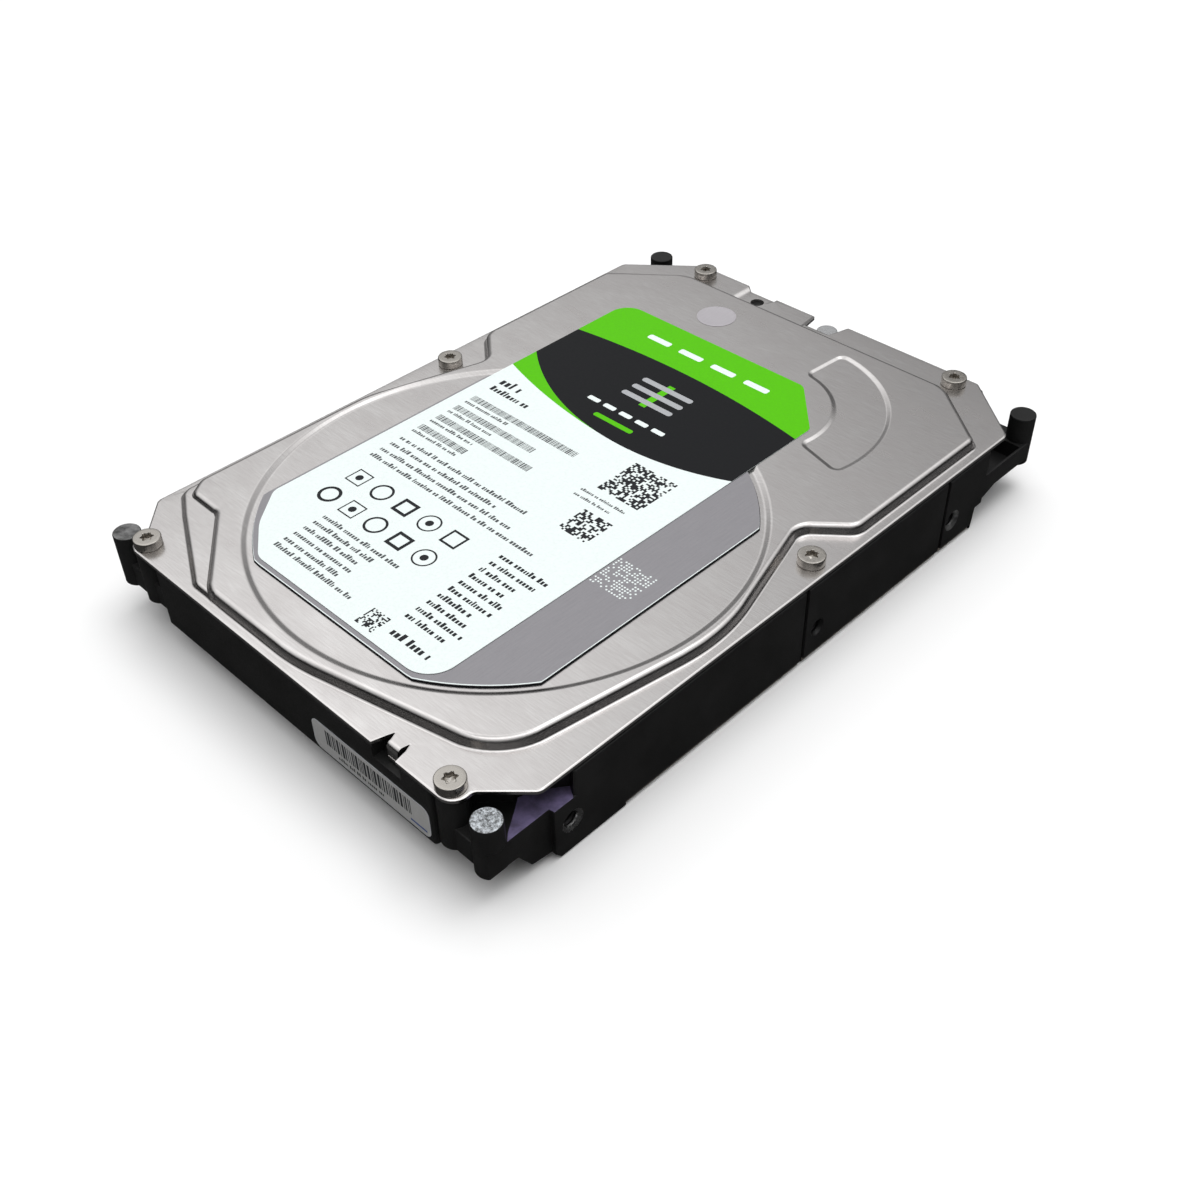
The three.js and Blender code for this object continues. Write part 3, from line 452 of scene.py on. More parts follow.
def worn_and_shaded_casting():
    # Real wear on the left front post top; the same finish is painted shade in the rear side holes.
    made = Finish("worn_and_shaded_casting_finish", metal=0.7)
    patch = made.noise(1.6, 3.0)
    made.set(colour=made.mix(made.between(patch, 0, 1), grey(0.06), grey(0.26)),
             rough=made.between(patch, 0.45, 0.3),
             normal=made.bump(made.noise(0.3), 0.02, 0.5))
    return made.material


def rail_foot_strip():
    """A lighter brownish strip on the narrow upright face at the foot of the side rails."""
    made = Finish("rail_foot_strip_finish", specular=0.3)
    patch = made.noise(1.2, 3.0)
    made.set(colour=made.mix(made.between(patch, 0, 1), colour(0.10, 0.088, 0.075), colour(0.26, 0.235, 0.20)),
             rough=made.between(patch, 0.6, 0.45),
             normal=made.bump(made.noise(0.3), 0.01, 0.4))
    return made.material


def cut_thread():
    """Fresh-cut aluminium in the threaded holes."""
    made = Finish("cut_thread_finish", metal=1.0)
    marks = made.noise(0.6, 3.0)
    made.set(colour=made.mix(made.between(marks, 0, 1), grey(0.32), grey(0.62)),
             rough=made.between(marks, 0.2, 0.35))
    return made.material


def painted_sheen_ledge():
    """The flat ledge at the front corner, given a violet painted sheen in place of the light its black coat
    reflects.
    """
    made = Finish("ledge_painted_sheen_finish", specular=0.5)
    patch = made.noise(2.4, 4.0, 0.6)
    # Painted sheen: the violet tones stand in for light reflected by the black coat, kept bright against the
    # cover's shade.
    made.set(colour=made.mix(made.between(patch, 0, 1, 0.35, 0.62), colour(0.100, 0.083, 0.150),
                             colour(0.200, 0.165, 0.315)),
             rough=made.between(made.noise(0.4), 0.35, 0.6),
             normal=made.bump(made.noise(0.3), 0.02, 0.5))
    return made.material


def foil(name, shade, rough=0.5, metal=0.35):
    made = Finish(name, metal=metal)
    fibre = made.noise((0.25, 5.0, 1.0), 3.0)
    made.set(colour=made.mix(made.between(fibre, 0, 1), shade, tuple(c * 1.1 for c in shade[:3]) + (1.0,)),
             rough=made.between(made.noise(0.5), rough - 0.06, rough + 0.08),
             normal=made.bump(fibre, 0.004, 0.4))
    return made.material


def print_ink(name, shade, rough=0.42, specular=0.12):
    """Printed paper or ink: a flat tone with faint mottle."""
    made = Finish(name, specular=specular)
    mottle = made.noise(0.5, 3.0)
    darker = tuple(c * 0.93 for c in shade[:3]) + (1.0,)
    made.set(colour=made.mix(made.between(mottle, 0, 1), darker, shade),
             rough=made.between(mottle, rough, rough + 0.1),
             normal=made.bump(made.noise(0.3), 0.004, 0.25))
    return made.material


def plastic(name, shade, rough=0.45, grain=0.2, specular=0.35):
    made = Finish(name, specular=specular)
    texture = made.noise(grain, 2.0)
    darker = tuple(c * 0.8 for c in shade[:3]) + (1.0,)
    made.set(colour=made.mix(made.between(made.noise(5.0), 0, 1), darker, shade),
             rough=made.between(texture, rough - 0.05, rough + 0.12),
             normal=made.bump(texture, 0.01, 0.4, made.soft_edges(0.06)))
    return made.material


def polished(name, shade, rough=0.12, grain=0.3):
    """Turned or plated metal, with fine rings or marks."""
    made = Finish(name, metal=1.0)
    marks = made.noise(grain, 3.0)
    darker = tuple(c * 0.88 for c in shade[:3]) + (1.0,)
    made.set(colour=made.mix(made.between(marks, 0, 1), darker, shade),
             rough=made.between(marks, rough * 0.7, rough * 1.5),
             normal=made.bump(marks, 0.004, 0.4, made.soft_edges(0.06)))
    return made.material


def felt(name, shade, size=0.25, depth=0.08):
    made = Finish(name, rough=0.95, specular=0.1)
    fibre = made.noise(size, 5.0, 0.7)
    darker = tuple(c * 0.7 for c in shade[:3]) + (1.0,)
    made.set(colour=made.mix(made.between(fibre, 0, 1), darker, shade), normal=made.bump(fibre, depth, 0.8))
    return made.material


def winding():
    """Enamelled copper wire: fine parallel turns."""
    made = Finish("copper_winding_finish", metal=0.85, rough=0.32)
    turns = made.add("ShaderNodeTexWave", {"Vector": made.place, "Scale": 900.0, "Distortion": 0.6},
                     wave_type="BANDS", bands_direction="Z")
    made.set(colour=made.mix(turns.outputs["Fac"], colour(0.30, 0.10, 0.035), colour(0.75, 0.30, 0.11)),
             normal=made.bump(turns.outputs["Fac"], 0.06, 0.8))
    return made.material


def solder_mask():
    """Dark green board lacquer, with the copper tracks showing through as a slightly lighter maze."""
    made = Finish("board_mask_finish", specular=0.5, rough=0.28, coat=0.3, coat_rough=0.2)
    cells = made.add("ShaderNodeTexVoronoi", {"Vector": made.place, "Scale": 260.0},
                     feature="DISTANCE_TO_EDGE", distance="CHEBYCHEV")
    track = made.between(cells.outputs["Distance"], 0, 1, 0.06, 0.10)
    mottle = made.noise(3.0, 2.0)
    made.set(colour=made.mix(track, colour(0.012, 0.060, 0.032), made.mix(
        mottle, colour(0.008, 0.036, 0.021), colour(0.011, 0.044, 0.026))),
        normal=made.bump(track, 0.02, 0.6))
    return made.material


BLACK = colour(0.0095, 0.0100, 0.0115)
WHITE = colour(0.83, 0.90, 0.89)
GREEN = colour(0.098, 0.53, 0.003)

FINISH = {
    "black_casting": black_casting(),
    "satin_steel": satin_steel(),
    "screw_steel": polished("screw_steel_finish", colour(0.50, 0.475, 0.44), 0.26, 0.5),
    "grey_foil": foil("grey_foil_finish", colour(0.275, 0.268, 0.285)),
    "label_print": print_ink("label_white", WHITE),
    "seal_foil": foil("seal_foil_finish", colour(0.45, 0.43, 0.455), 0.45, 0.3),
    "gasket_rubber": plastic("gasket_rubber_finish", grey(0.016), 0.75, 0.3, 0.2),
    "board_mask": solder_mask(),
    "black_plastic": plastic("black_plastic_finish", colour(0.014, 0.014, 0.016)),
    "pale_plastic": plastic("pale_plastic_finish", colour(0.66, 0.61, 0.48)),
    "foam": felt("foam_finish", grey(0.045)),
    "chip_epoxy": plastic("chip_epoxy_finish", grey(0.012), 0.5, 0.15),
    "disc_media": polished("disc_media_finish", colour(0.80, 0.81, 0.82), 0.03, 8.0),
    "machined_aluminium": polished("machined_aluminium_finish", colour(0.72, 0.73, 0.74), 0.3, 0.25),
    "nickel": polished("nickel_finish", colour(0.70, 0.70, 0.68), 0.14, 0.4),
    "magnet": polished("magnet_finish", colour(0.42, 0.42, 0.43), 0.25, 0.6),
    "copper_winding": winding(),
    "flex_polyimide": plastic("flex_polyimide_finish", colour(0.42, 0.18, 0.03), 0.3, 0.4),
    "filter_media": felt("filter_media_finish", grey(0.75), 0.35, 0.12),
}
INK = {
    "white": FINISH["label_print"],
    "black": print_ink("label_black", BLACK, 0.38),
    "green": print_ink("label_green", GREEN, 0.40),
    "text": print_ink("label_text", colour(0.022, 0.023, 0.026), 0.5),
    "small_text": print_ink("label_small_text", colour(0.08, 0.085, 0.09), 0.5),
    "silver": print_ink("label_silver", colour(0.42, 0.43, 0.45), 0.35),
    "grey": foil("bar_label_grey", colour(0.36, 0.36, 0.355), 0.45, 0.15),
    "blue": print_ink("bar_label_blue", colour(0.05, 0.08, 0.22), 0.5),
}
GOLD = polished("contact_gold", colour(0.83, 0.55, 0.19), 0.2, 0.3)
TIN = polished("solder_tin", colour(0.62, 0.62, 0.60), 0.3, 0.3)

# ---- Cover --------------------------------------------------------------------------------------

FIELD = rounded([
    (-20.6, -71.4, 6), (3, -71.4, 40), (42.1, -62.8, 12), (49.15, -20, 38), (40.2, 9.65, 4),
    (48.2, 16.4, 3.5), (48.2, 52.6, 2.2), (34.0, 64.0, 6), (-34.0, 64.0, 6), (-48.2, 52.6, 2.2),
    (-48.2, 16.4, 3.5), (-40.2, 9.65, 4), (-47.9, -16, 20), (-47.9, -54.8, 3), (-45.6, -58.2, 2.5),
    (-37.6, -58.2, 3),
])
CHAMBER = rounded([
    (-20.6, -71.2, 6), (3, -71.2, 40), (42.3, -62.6, 6), (49.3, -20, 38), (40.4, 9.8, 4),
    (48.2, 16.6, 3.5), (48.2, 56.5, 3), (41.2, 64.8, 4), (-41.2, 64.8, 4), (-48.2, 56.5, 3),
    (-48.2, 16.6, 3.5), (-40.4, 9.8, 4), (-48.1, -16, 20), (-48.1, -54.8, 3), (-45.6, -58.4, 2.5),
    (-37.6, -58.4, 3),
])
SHELF = rounded([
    (-24.5, -71.6, 4), (-18, -71.6, 0), (-30, -58, 0), (-40, -54, 0), (-48.6, -54, 1), (-48.6, -58.4, 3),
    (-42.5, -62.0, 6),
])
POCKET = rounded_sector(PIVOT, 15.9, 26.4, -15, 85.5, 1.6)
RECESS_RADIUS = 46.25
LEDGE = {"left": (-23.0, -21.2), "right": (-4.3, -3.2), "front": (65.6, 66.7), "depth": 0.62}

COVER_RIGHT = [
    (44.0, COVER_FRONT, 3), (43.6, -69.3, 1.5), (COVER_EDGE, -62.6, 2), (COVER_EDGE, 60.6, 2),
    (36.6, COVER_REAR, 1),
]
COVER_REAR_EDGE = [
    (4.4, COVER_REAR, 0.5), (3.0, 67.3, 0.5), (-3.0, 67.3, 0.5), (-4.4, COVER_REAR, 0.5),
    (-15.0, COVER_REAR, 0.15), (-15.0, COVER_REAR - 1.0, 0.15), (-21.5, COVER_REAR - 1.0, 0.3),
    (-23.0, COVER_REAR, 0.3),
]

# The tab is drawn flat, and bent down and out afterwards.
TAB_LEFT, TAB_RIGHT = 27.0, 29.6
TAB_ROOT = -71.0
TAB_FALL = {"bend": 0.75, "drop": 1.5, "lower_bend": 0.3, "foot": 0.05}
TAB_LENGTH = math.pi / 2 * (TAB_FALL["bend"] + TAB_FALL["lower_bend"]) + TAB_FALL["drop"] + TAB_FALL["foot"]
TAB_EDGE = [
    (25.2, COVER_FRONT, 0), (25.9, -71.0, 0.1), (26.4, -69.6, 0.08), (TAB_LEFT, -71.0, 0.1),
    (TAB_LEFT, TAB_ROOT - TAB_LENGTH, 0.3), (TAB_RIGHT, TAB_ROOT - TAB_LENGTH, 0.3),
    (TAB_RIGHT, -71.0, 0.1), (29.9, -69.6, 0.08), (30.5, -71.0, 0.1), (31.0, COVER_FRONT, 0),
]

SCREW_PLACES = [middle_mm(f"cover_screw_{i}")[:2] for i in range(1, 7)]
LEDGE_HOLE = (-17.4, 68.5)

EDGE_WIDTH = 0.36
EDGE_DROP = 0.17


def wall_profile(height, degrees, brow_radius, foot_radius, steps):
    """(distance outside, height) down a pressed wall: a rounded brow, a straight slope, a rounded foot."""
    slope = math.radians(degrees)
    straight = height - (brow_radius + foot_radius) * (1 - math.cos(slope))
    run = straight / math.tan(slope)
    half = ((brow_radius + foot_radius) * math.sin(slope) + run) / 2
    turns = [slope * k / steps for k in range(steps + 1)]
    brow = [(-half + brow_radius * math.sin(t), height - brow_radius * (1 - math.cos(t))) for t in turns]
    foot = [(half - foot_radius * math.sin(t), foot_radius * (1 - math.cos(t))) for t in reversed(turns)]
    return np.array(brow + foot)


FIELD_WALL = wall_profile(FIELD_RISE, 74, 1.2, 0.55, 7)
SHELF_WALL = wall_profile(SHELF_RISE, 60, 0.8, 0.6, 5)
RECESS_WALL = wall_profile(RECESS_DEPTH, 24, 1.3, 1.3, 5)
POCKET_WALL = wall_profile(POCKET_DEPTH, 22, 0.9, 0.9, 5)


def blended_max(a, b, width):
    """The larger of two heights, with the corner between them filled. Flat flange stays as it is."""
    near = np.clip(width - np.abs(a - b), 0, None) / width
    return np.maximum(a, b) + near ** 2 * width / 4 * np.clip(np.maximum(a, b) / width, 0, 1)


def cover_height(points, outline):
    """Height of the cover's upper face."""
    field = np.interp(outside_by(points, FIELD), *FIELD_WALL.T)
    shelf = np.interp(outside_by(points, SHELF), *SHELF_WALL.T)
    height = FLANGE + blended_max(field, shelf, 0.3)
    inside_recess = RECESS_RADIUS - np.linalg.norm(points - SPINDLE, axis=1)
    height -= RECESS_DEPTH - np.interp(inside_recess, *RECESS_WALL.T)
    height -= POCKET_DEPTH - np.interp(-outside_by(points, POCKET), *POCKET_WALL.T)
    x, y = points.T
    ledge = smooth(x, *LEDGE["left"]) * (1 - smooth(x, *LEDGE["right"])) * smooth(y, *LEDGE["front"])
    height -= LEDGE["depth"] * ledge
    edge = -outside_by(points, outline)
    sheared = (np.abs(x - (TAB_LEFT + TAB_RIGHT) / 2) < 3.2) & (y < -69)
    return height - np.where(sheared, 0.04, EDGE_DROP) * (1 - np.clip(edge / EDGE_WIDTH, 0, 1)) ** 2



def bent_tab(points, offset):
    """Places of tab vertices after bending: distance past the root becomes a path down and out."""
    run = TAB_ROOT - points[:, 1]
    first = TAB_FALL["bend"] * math.pi / 2
    second = first + TAB_FALL["drop"]
    third = second + TAB_FALL["lower_bend"] * math.pi / 2
    turn = np.clip(run / TAB_FALL["bend"], 0, math.pi / 2)
    back = np.clip((run - second) / TAB_FALL["lower_bend"], 0, math.pi / 2)
    out = TAB_FALL["bend"] * np.sin(turn) + TAB_FALL["lower_bend"] * (1 - np.cos(back))
    out += np.clip(run - third, 0, None) + np.clip(run, None, 0)
    down = TAB_FALL["bend"] * (1 - np.cos(turn)) + np.clip(run - first, 0, TAB_FALL["drop"])
    down += TAB_FALL["lower_bend"] * np.sin(back)
    tilt = turn - back
    y = TAB_ROOT - out - offset * np.sin(tilt)
    z = FLANGE - SHEET / 2 - down + offset * np.cos(tilt)
    return np.column_stack([points[:, 0], y, z])


def cover_sheet():
    outline = rounded(COVER_RIGHT + COVER_REAR_EDGE + mirrored(COVER_RIGHT) + TAB_EDGE)
    holes = [circle(place, 1.7, 24) for place in SCREW_PLACES] + [circle(LEDGE_HOLE, 1.5, 36)]
    loops = [outline, moved_out(outline, -EDGE_WIDTH / 2), moved_out(outline, -EDGE_WIDTH)] + holes
    for wall, shape in ((FIELD_WALL, FIELD), (SHELF_WALL, SHELF)):
        loops += [moved_out(shape, d) for d in wall[:, 0]]
    loops += [circle(SPINDLE, RECESS_RADIUS - d, 180) for d in RECESS_WALL[:, 0]]
    loops += [moved_out(POCKET, -d) for d in POCKET_WALL[:, 0]]
    lines = []
    for x in np.linspace(LEDGE["left"][0] - 0.2, LEDGE["left"][1] + 0.2, 9):
        lines.append([(x, 65.3), (x, COVER_REAR - 0.3)])
    for x in np.linspace(*LEDGE["right"], 5):
        lines.append([(x, 65.4), (x, 67.0)])
    for y in np.linspace(LEDGE["front"][0] - 0.1, LEDGE["front"][1] + 0.1, 8):
        lines.append([(LEDGE["left"][0] - 0.4, y), (LEDGE["right"][1] + 0.2, y)])
    for y in np.arange(TAB_ROOT, TAB_ROOT - TAB_LENGTH, -0.18):
        lines.append([(TAB_LEFT, y), (TAB_RIGHT, y)])
    points, triangles, centres = triangulated(loops, lines)
    keep = inside(centres, outline)
    for hole in holes:
        keep &= ~inside(centres, hole)
    triangles = triangles[keep]
    height = cover_height(points, outline)
    top = np.column_stack([points, height])
    bottom = np.column_stack([points, height - SHEET])
    middle = FLANGE - SHEET / 2
    on_tab = (points[:, 1] < TAB_ROOT) & (np.abs(points[:, 0] - (TAB_LEFT + TAB_RIGHT) / 2) < 1.4)
    top[on_tab] = bent_tab(points[on_tab], height[on_tab] - middle)
    bottom[on_tab] = bent_tab(points[on_tab], height[on_tab] - SHEET - middle)
    vertices, faces = slab(points, triangles, top, bottom)
    sheet = add_piece("cover_sheet", vertices, faces, FINISH["satin_steel"], slot="satin_steel",
                      replaces=["top_cover"], smooth_angle=42)
    keep_flats_flat(sheet)


cover_sheet()

# ---- Screws -------------------------------------------------------------------------------------


def lobed(radius, depth, count, lobes=6):
    """A round outline drawn in between its lobes."""
    angles = np.arange(count) * 2 * math.pi / count
    reach = radius - depth * (0.5 - 0.5 * np.cos(lobes * angles)) ** 0.8
    return np.column_stack([reach * np.cos(angles), reach * np.sin(angles)])


def screw(name, node, socket, slot="screw_steel", edge=0.22, shank=None, body=HOUSING, upside_down=False):
    """A pan-head screw with a six-lobe socket, in the box of its CAD node."""
    low, high = box_mm(node)
    centre = (low + high) / 2
    radius = (high[0] - low[0]) / 2
    length = high[2] - low[2]
    head = shank["head"]
    count = 72
    ring = circle((0, 0), 1.0, count)
    star = lobed(1.0, 0.3, count)
    rows = [
        (ring, shank["radius"] * 0.55, 0), (ring, shank["radius"], shank["radius"] * 0.5),
        (ring, shank["radius"], length - head), (ring, radius - edge * 0.6, length - head),
        (ring, radius, length - head + edge * 0.6),
    ]
    turns = [math.radians(90 * k / 5) for k in range(6)]
    rows += [(ring, radius - edge + edge * math.cos(t), length - edge + edge * math.sin(t)) for t in turns]
    rows += [
        (ring, radius * 0.72, length), (star, socket + 0.12, length), (star, socket, length - 0.1),
        (star, socket, length - head * 0.62), (ring, socket * 0.35, length - head * 0.72),
        (ring, socket * 0.12, length - head * 0.78),
    ]
    rings = [lift(shape * size, z) for shape, size, z in rows]
    vertices, faces = stacked_rings(rings)
    if upside_down:
        vertices = vertices * [1, -1, -1] + [0, 0, length]
    vertices = vertices + [centre[0], centre[1], low[2]]
    add_piece(name, vertices, faces, FINISH[slot], body=body, slot=slot, replaces=[node], smooth_angle=40)


for i in range(1, 7):
    screw(f"cover_lobed_screw_{i}", f"cover_screw_{i}", 1.2, shank={"radius": 1.25, "head": 1.73})
for i in range(1, 5):
    screw(f"board_lobed_screw_{i}", f"board_screw_{i}", 0.75, edge=0.2, upside_down=True,
          shank={"radius": 0.95, "head": 0.95})
for i in range(1, 4):
    screw(f"clamp_lobed_screw_{i}", f"clamp_screw_{i}", 0.7, edge=0.15, body="spindle_rotor",
          shank={"radius": 0.75, "head": 0.78})
for i in range(1, 3):
    screw(f"yoke_lobed_screw_{i}", f"yoke_screw_{i}", 0.75, edge=0.15, shank={"radius": 1.05, "head": 0.88})
screw("ramp_lobed_screw", "ramp_screw", 0.65, edge=0.15, shank={"radius": 0.95, "head": 0.78})

# ---- Printed labels and foils -------------------------------------------------------------------


def on_top(u, v, w):
    return np.column_stack([u, v, w])


def on_front(u, v, w):
    return np.column_stack([u, -w, v])


def printed(name, outline, marks, finish, bottom, top, place=on_top, **options):
    """A thin sheet whose upper face is split along the marks, each an (outline, finish index)."""
    loops = [outline] + [shape for shape, _ in marks]
    points, triangles, centres = triangulated(loops)
    keep = inside(centres, outline)
    triangles, centres = triangles[keep], centres[keep]
    tone = np.zeros(len(centres), int)
    for shape, index in marks:
        low, high = shape.min(0), shape.max(0)
        near = np.nonzero(((centres >= low) & (centres <= high)).all(1))[0]
        tone[near[inside(centres[near], shape)]] = index
    count = len(points)
    upper = place(points[:, 0], points[:, 1], np.full(count, float(top)))
    lower = place(points[:, 0], points[:, 1], np.full(count, float(bottom)))
    vertices, faces = slab(points, triangles, upper, lower)
    tones = tone.tolist() + [0] * (len(faces) - len(tone))
    add_piece(name, vertices, faces, finish, face_finish=tones, **options)


def arc_through(first, middle, last, count=40):
    """Points on the circle through three points, from the first to the last."""
    a, b, c = (np.array(p, float) for p in (first, middle, last))
    rows = 2 * np.array([b - a, c - a])
    centre = np.linalg.solve(rows, [b @ b - a @ a, c @ c - a @ a])
    radius = np.linalg.norm(a - centre)
    start, mid, end = (math.degrees(math.atan2(*(p - centre)[::-1])) for p in (a, b, c))
    sweep = (end - start + 180) % 360 - 180
    return arc(centre, radius, start, start + sweep, count)


def word_bars(x0, x1, y, height, index, longest=6):
    """A line of print shown as plain blocks, grouped like words. No block is a letter."""
    bars = []
    low = y - height / 2
    x = x0
    while x < x1 - 0.3 * height:
        for _ in range(rng.randint(2, longest)):
            width = height * rng.choice([0.28, 0.42, 0.42, 0.5])
            top = low + height * rng.choice([0.66, 0.66, 0.72, 1.0])
            if x + width > x1:
                break
            bars.append((rectangle(x, low, x + width, top), index))
            x += width + 0.17 * height
        x += 0.42 * height
    return bars


def block_row(x0, x1, y, width, height, count, index):
    """Evenly spaced plain dashes."""
    pitch = (x1 - x0 - width) / (count - 1)
    return [(rectangle(x0 + k * pitch, y - height / 2, x0 + k * pitch + width, y + height / 2, height * 0.3),
             index) for k in range(count)]


def stripes(x0, x1, y0, y1, index, pitch=1.0):
    """A strip of upright bars with uneven widths."""
    bars = []
    x = x0
    while x < x1 - 0.2:
        width = rng.choice([0.13, 0.13, 0.22, 0.34]) * pitch
        bars.append((rectangle(x, y0, min(x + width, x1), y1), index))
        x += width + rng.choice([0.12, 0.2]) * pitch
    return bars


def mosaic(x0, y0, size, cells, index):
    """A square patch of dark and light cells, merged along each row."""
    marks = []
    cell = size / cells
    for row in range(cells):
        y = y0 + row * cell
        start = None
        for column in range(cells + 1):
            dark = column < cells and rng.random() < 0.52
            if dark and start is None:
                start = column
            if not dark and start is not None:
                marks.append((rectangle(x0 + start * cell, y, x0 + column * cell, y + cell), index))
                start = None
    return marks


def shape_mark(centre, radius, sides, turn, width, index, under):
    """The thick outline of a regular shape. Many sides make a ring."""
    outer = circle(centre, radius, sides)
    if turn:
        outer = np.array([polar(centre, radius, turn + 360 * k / sides) for k in range(sides)])
    return [(outer, index), (moved_out(outer, -width), under)]


def icon_rows(ink, paper):
    """An even grid of plain squares and rings, with every third one given a solid middle."""
    marks = []
    for place in range(10):
        centre = (-26.5 + 6.6 * (place % 5), -34.6 - 6.8 * (place // 5))
        if place % 2:
            marks += shape_mark(centre, 2.3, 40, 0, 0.35 + 0.15 * (place % 3), ink, paper)
        else:
            marks += shape_mark(centre, 2.8, 4, 45, 0.3 + 0.2 * (place % 3), ink, paper)
        if place % 3 == 0:
            marks.append((circle(centre, 0.8, 24), ink))
    return marks


def disc_stack_icon(centre, tone):
    """A plain picture of three discs on a spindle, seen from the side."""
    x, y = centre
    marks = [(rectangle(x - 0.8, y - 4.6, x + 0.8, y + 4.6), tone["green"])]
    for rise in (-3.0, 0.0, 3.0):
        marks.append((rectangle(x - 6.5, y + rise - 0.7, x + 6.5, y + rise + 0.7, 0.6), tone["silver"]))
    return marks


def band_edges(x0, x1):
    """Lower edges of the green and the black band, and of the green crescent beside the black one."""
    black = arc_through((x0, 18.9), (-5, 5.7), (x1, 11.6), 60)
    green = arc_through((x0, 30.1), (-5, 32.4), (x1, 29.3))
    crescent = arc_through((x0, 11.7), (-20, 7.6), (-5, 5.7), 24)
    return black, green, crescent


def paragraph(left, right, top, lines, pitch, height, index):
    """Lines of print with uneven right ends."""
    marks = []
    for line in range(lines):
        end = right - rng.uniform(0, 0.35) * (right - left)
        marks += word_bars(left, end, top - line * pitch, height, index, 9)
    return marks


def top_label():
    low, high = box_mm("top_label")
    x0, x1 = low[0], high[0]
    outline = rounded([
        (-21.2, low[1], 4), (x1, low[1], 5.4), (x1, 34.0, 2), (13.6, high[1], 2.5), (x0, high[1], 4.5),
        (x0, -47.8, 3), (-28.8, -55.2, 12),
    ])
    names = ["white", "black", "green", "text", "silver", "small_text"]
    tone = {name: k for k, name in enumerate(names)}
    left, right, beyond = x0 - 1, x1 + 1, high[1] + 1
    black, green, crescent = band_edges(left, right)
    sliver = crescent + [p for p in black[::-1] if p[0] < -5.2]
    marks = [
        (np.array(sliver), tone["green"]),
        (np.array(black + [(right, beyond), (left, beyond)]), tone["black"]),
        (np.array(green + [(right, beyond), (left, beyond)]), tone["green"]),
    ]
    marks += block_row(-22.0, 10.0, 38.5, 6.0, 1.6, 4, tone["white"])
    marks += disc_stack_icon((-5.0, 22.5), tone)
    marks += block_row(-15.0, 5.0, 13.5, 3.0, 1.2, 5, tone["white"])
    marks.append((rectangle(-10.0, 9.4, 0.0, 10.6, 0.5), tone["green"]))

    ink, small = tone["text"], tone["small_text"]
    marks += word_bars(-31.5, -25.9, 5.6, 2.3, ink)
    marks += word_bars(-31.4, -20.8, 2.6, 1.6, ink, 9)
    for row, length in enumerate((29, 22, 26, 13)):
        y = -2.5 - 4.5 * row
        marks += stripes(-31.4, -31.4 + length, y - 0.85, y + 0.85, small)
        marks += word_bars(-31.4, -19.0, y - 1.8, 0.9, small, 9)
    marks += paragraph(-31, 14, -21, 4, 2.4, 1.1, small)
    marks += paragraph(-22, 1, -46, 6, 2.1, 1.1, small)
    marks += paragraph(9, 21, -32, 10, 2.3, 1.25, ink)
    marks += paragraph(5.5, 16.5, -9, 2, 1.8, 0.75, small)
    marks += word_bars(10.4, 19.8, -56.8, 1.7, ink)
    marks += mosaic(7.3, -6.9, 10.4, 25, ink)
    marks += mosaic(10.3, -19.8, 6.9, 16, ink)
    marks += mosaic(3.9, -59.6, 4.3, 14, ink)
    marks += icon_rows(ink, tone["white"])
    printed("printed_label", outline, marks, [INK[name] for name in names], low[2], high[2] - 0.01,
            slot="label_print", replaces=["top_label"])


FOIL_REACH = 44.7


def cover_foil():
    """Grey foil in the disc recess, with a painted shadow under and round it, a pale edge band that is partly
    painted highlight, and a patch of small white dots.
    """
    low, high = box_mm("cover_foil")
    edge = np.clip(circle(SPINDLE, FOIL_REACH, 180), low[:2], high[:2])
    outline = np.array([edge[k] for k in range(len(edge)) if np.linalg.norm(edge[k] - edge[k - 1]) > 0.05])
    # The grey is shifted back and left, so a pale band shows only on the front and right edges: partly the foil's
    # pale cut edge, partly painted highlight.
    marks = [(outline, 1), (outline + [-0.15, 0.17], 0)]
    pitch = 0.62
    for row in range(13):
        for column in range(14):
            if rng.random() < 0.66:
                at = (24.5 + column * pitch, -25.9 + row * pitch)
                marks.append((circle(at, 0.2, 8), 1))
    printed("grey_cover_foil", outline, marks, [FINISH["grey_foil"], INK["white"]], high[2] - 0.12, high[2],
            slot="grey_foil", replaces=["cover_foil"])
    # Painted shadow: a black layer under the foil shows as its dark sides, and a black strip round its foot as its
    # shadow on the recess floor.
    foil_shadow = Mesh().add(*prism(moved_out(outline, -0.05), low[2], high[2] - 0.13))
    foil_shadow.add(*prism(moved_out(outline, 0.14), low[2], low[2] + 0.06))
    foil_shadow.piece("foil_adhesive", [INK["black"]], slot="grey_foil")


def bar_label():
    """Sticker on the front face, with upright bars and a row of dashes."""
    low, high = box_mm("bar_label")
    x0, x1, z0, z1 = low[0], high[0], low[2], high[2]
    outline = rectangle(x0, z0, x1, z1, 1.5)
    marks = [(rectangle(x0 + 0.13, z0 + 0.13, x1 - 0.13, z1 - 0.13, 1.4), 1)]
    marks += stripes(x0 + 3.4, x1 - 4.2, z0 + 2.3, z1 - 0.9, 2, 1.6)
    marks += word_bars(x0 + 6.2, x1 - 10.5, z0 + 1.3, 0.8, 2)
    marks += [(rectangle(x1 - 4.8, z0 + 0.9, x1 - 0.9, z0 + 1.35), 3)]
    printed("front_sticker", outline, marks, [INK["silver"], INK["grey"], INK["text"], INK["blue"]],
            -high[1], -low[1], place=on_front, slot="label_print", replaces=["bar_label"])


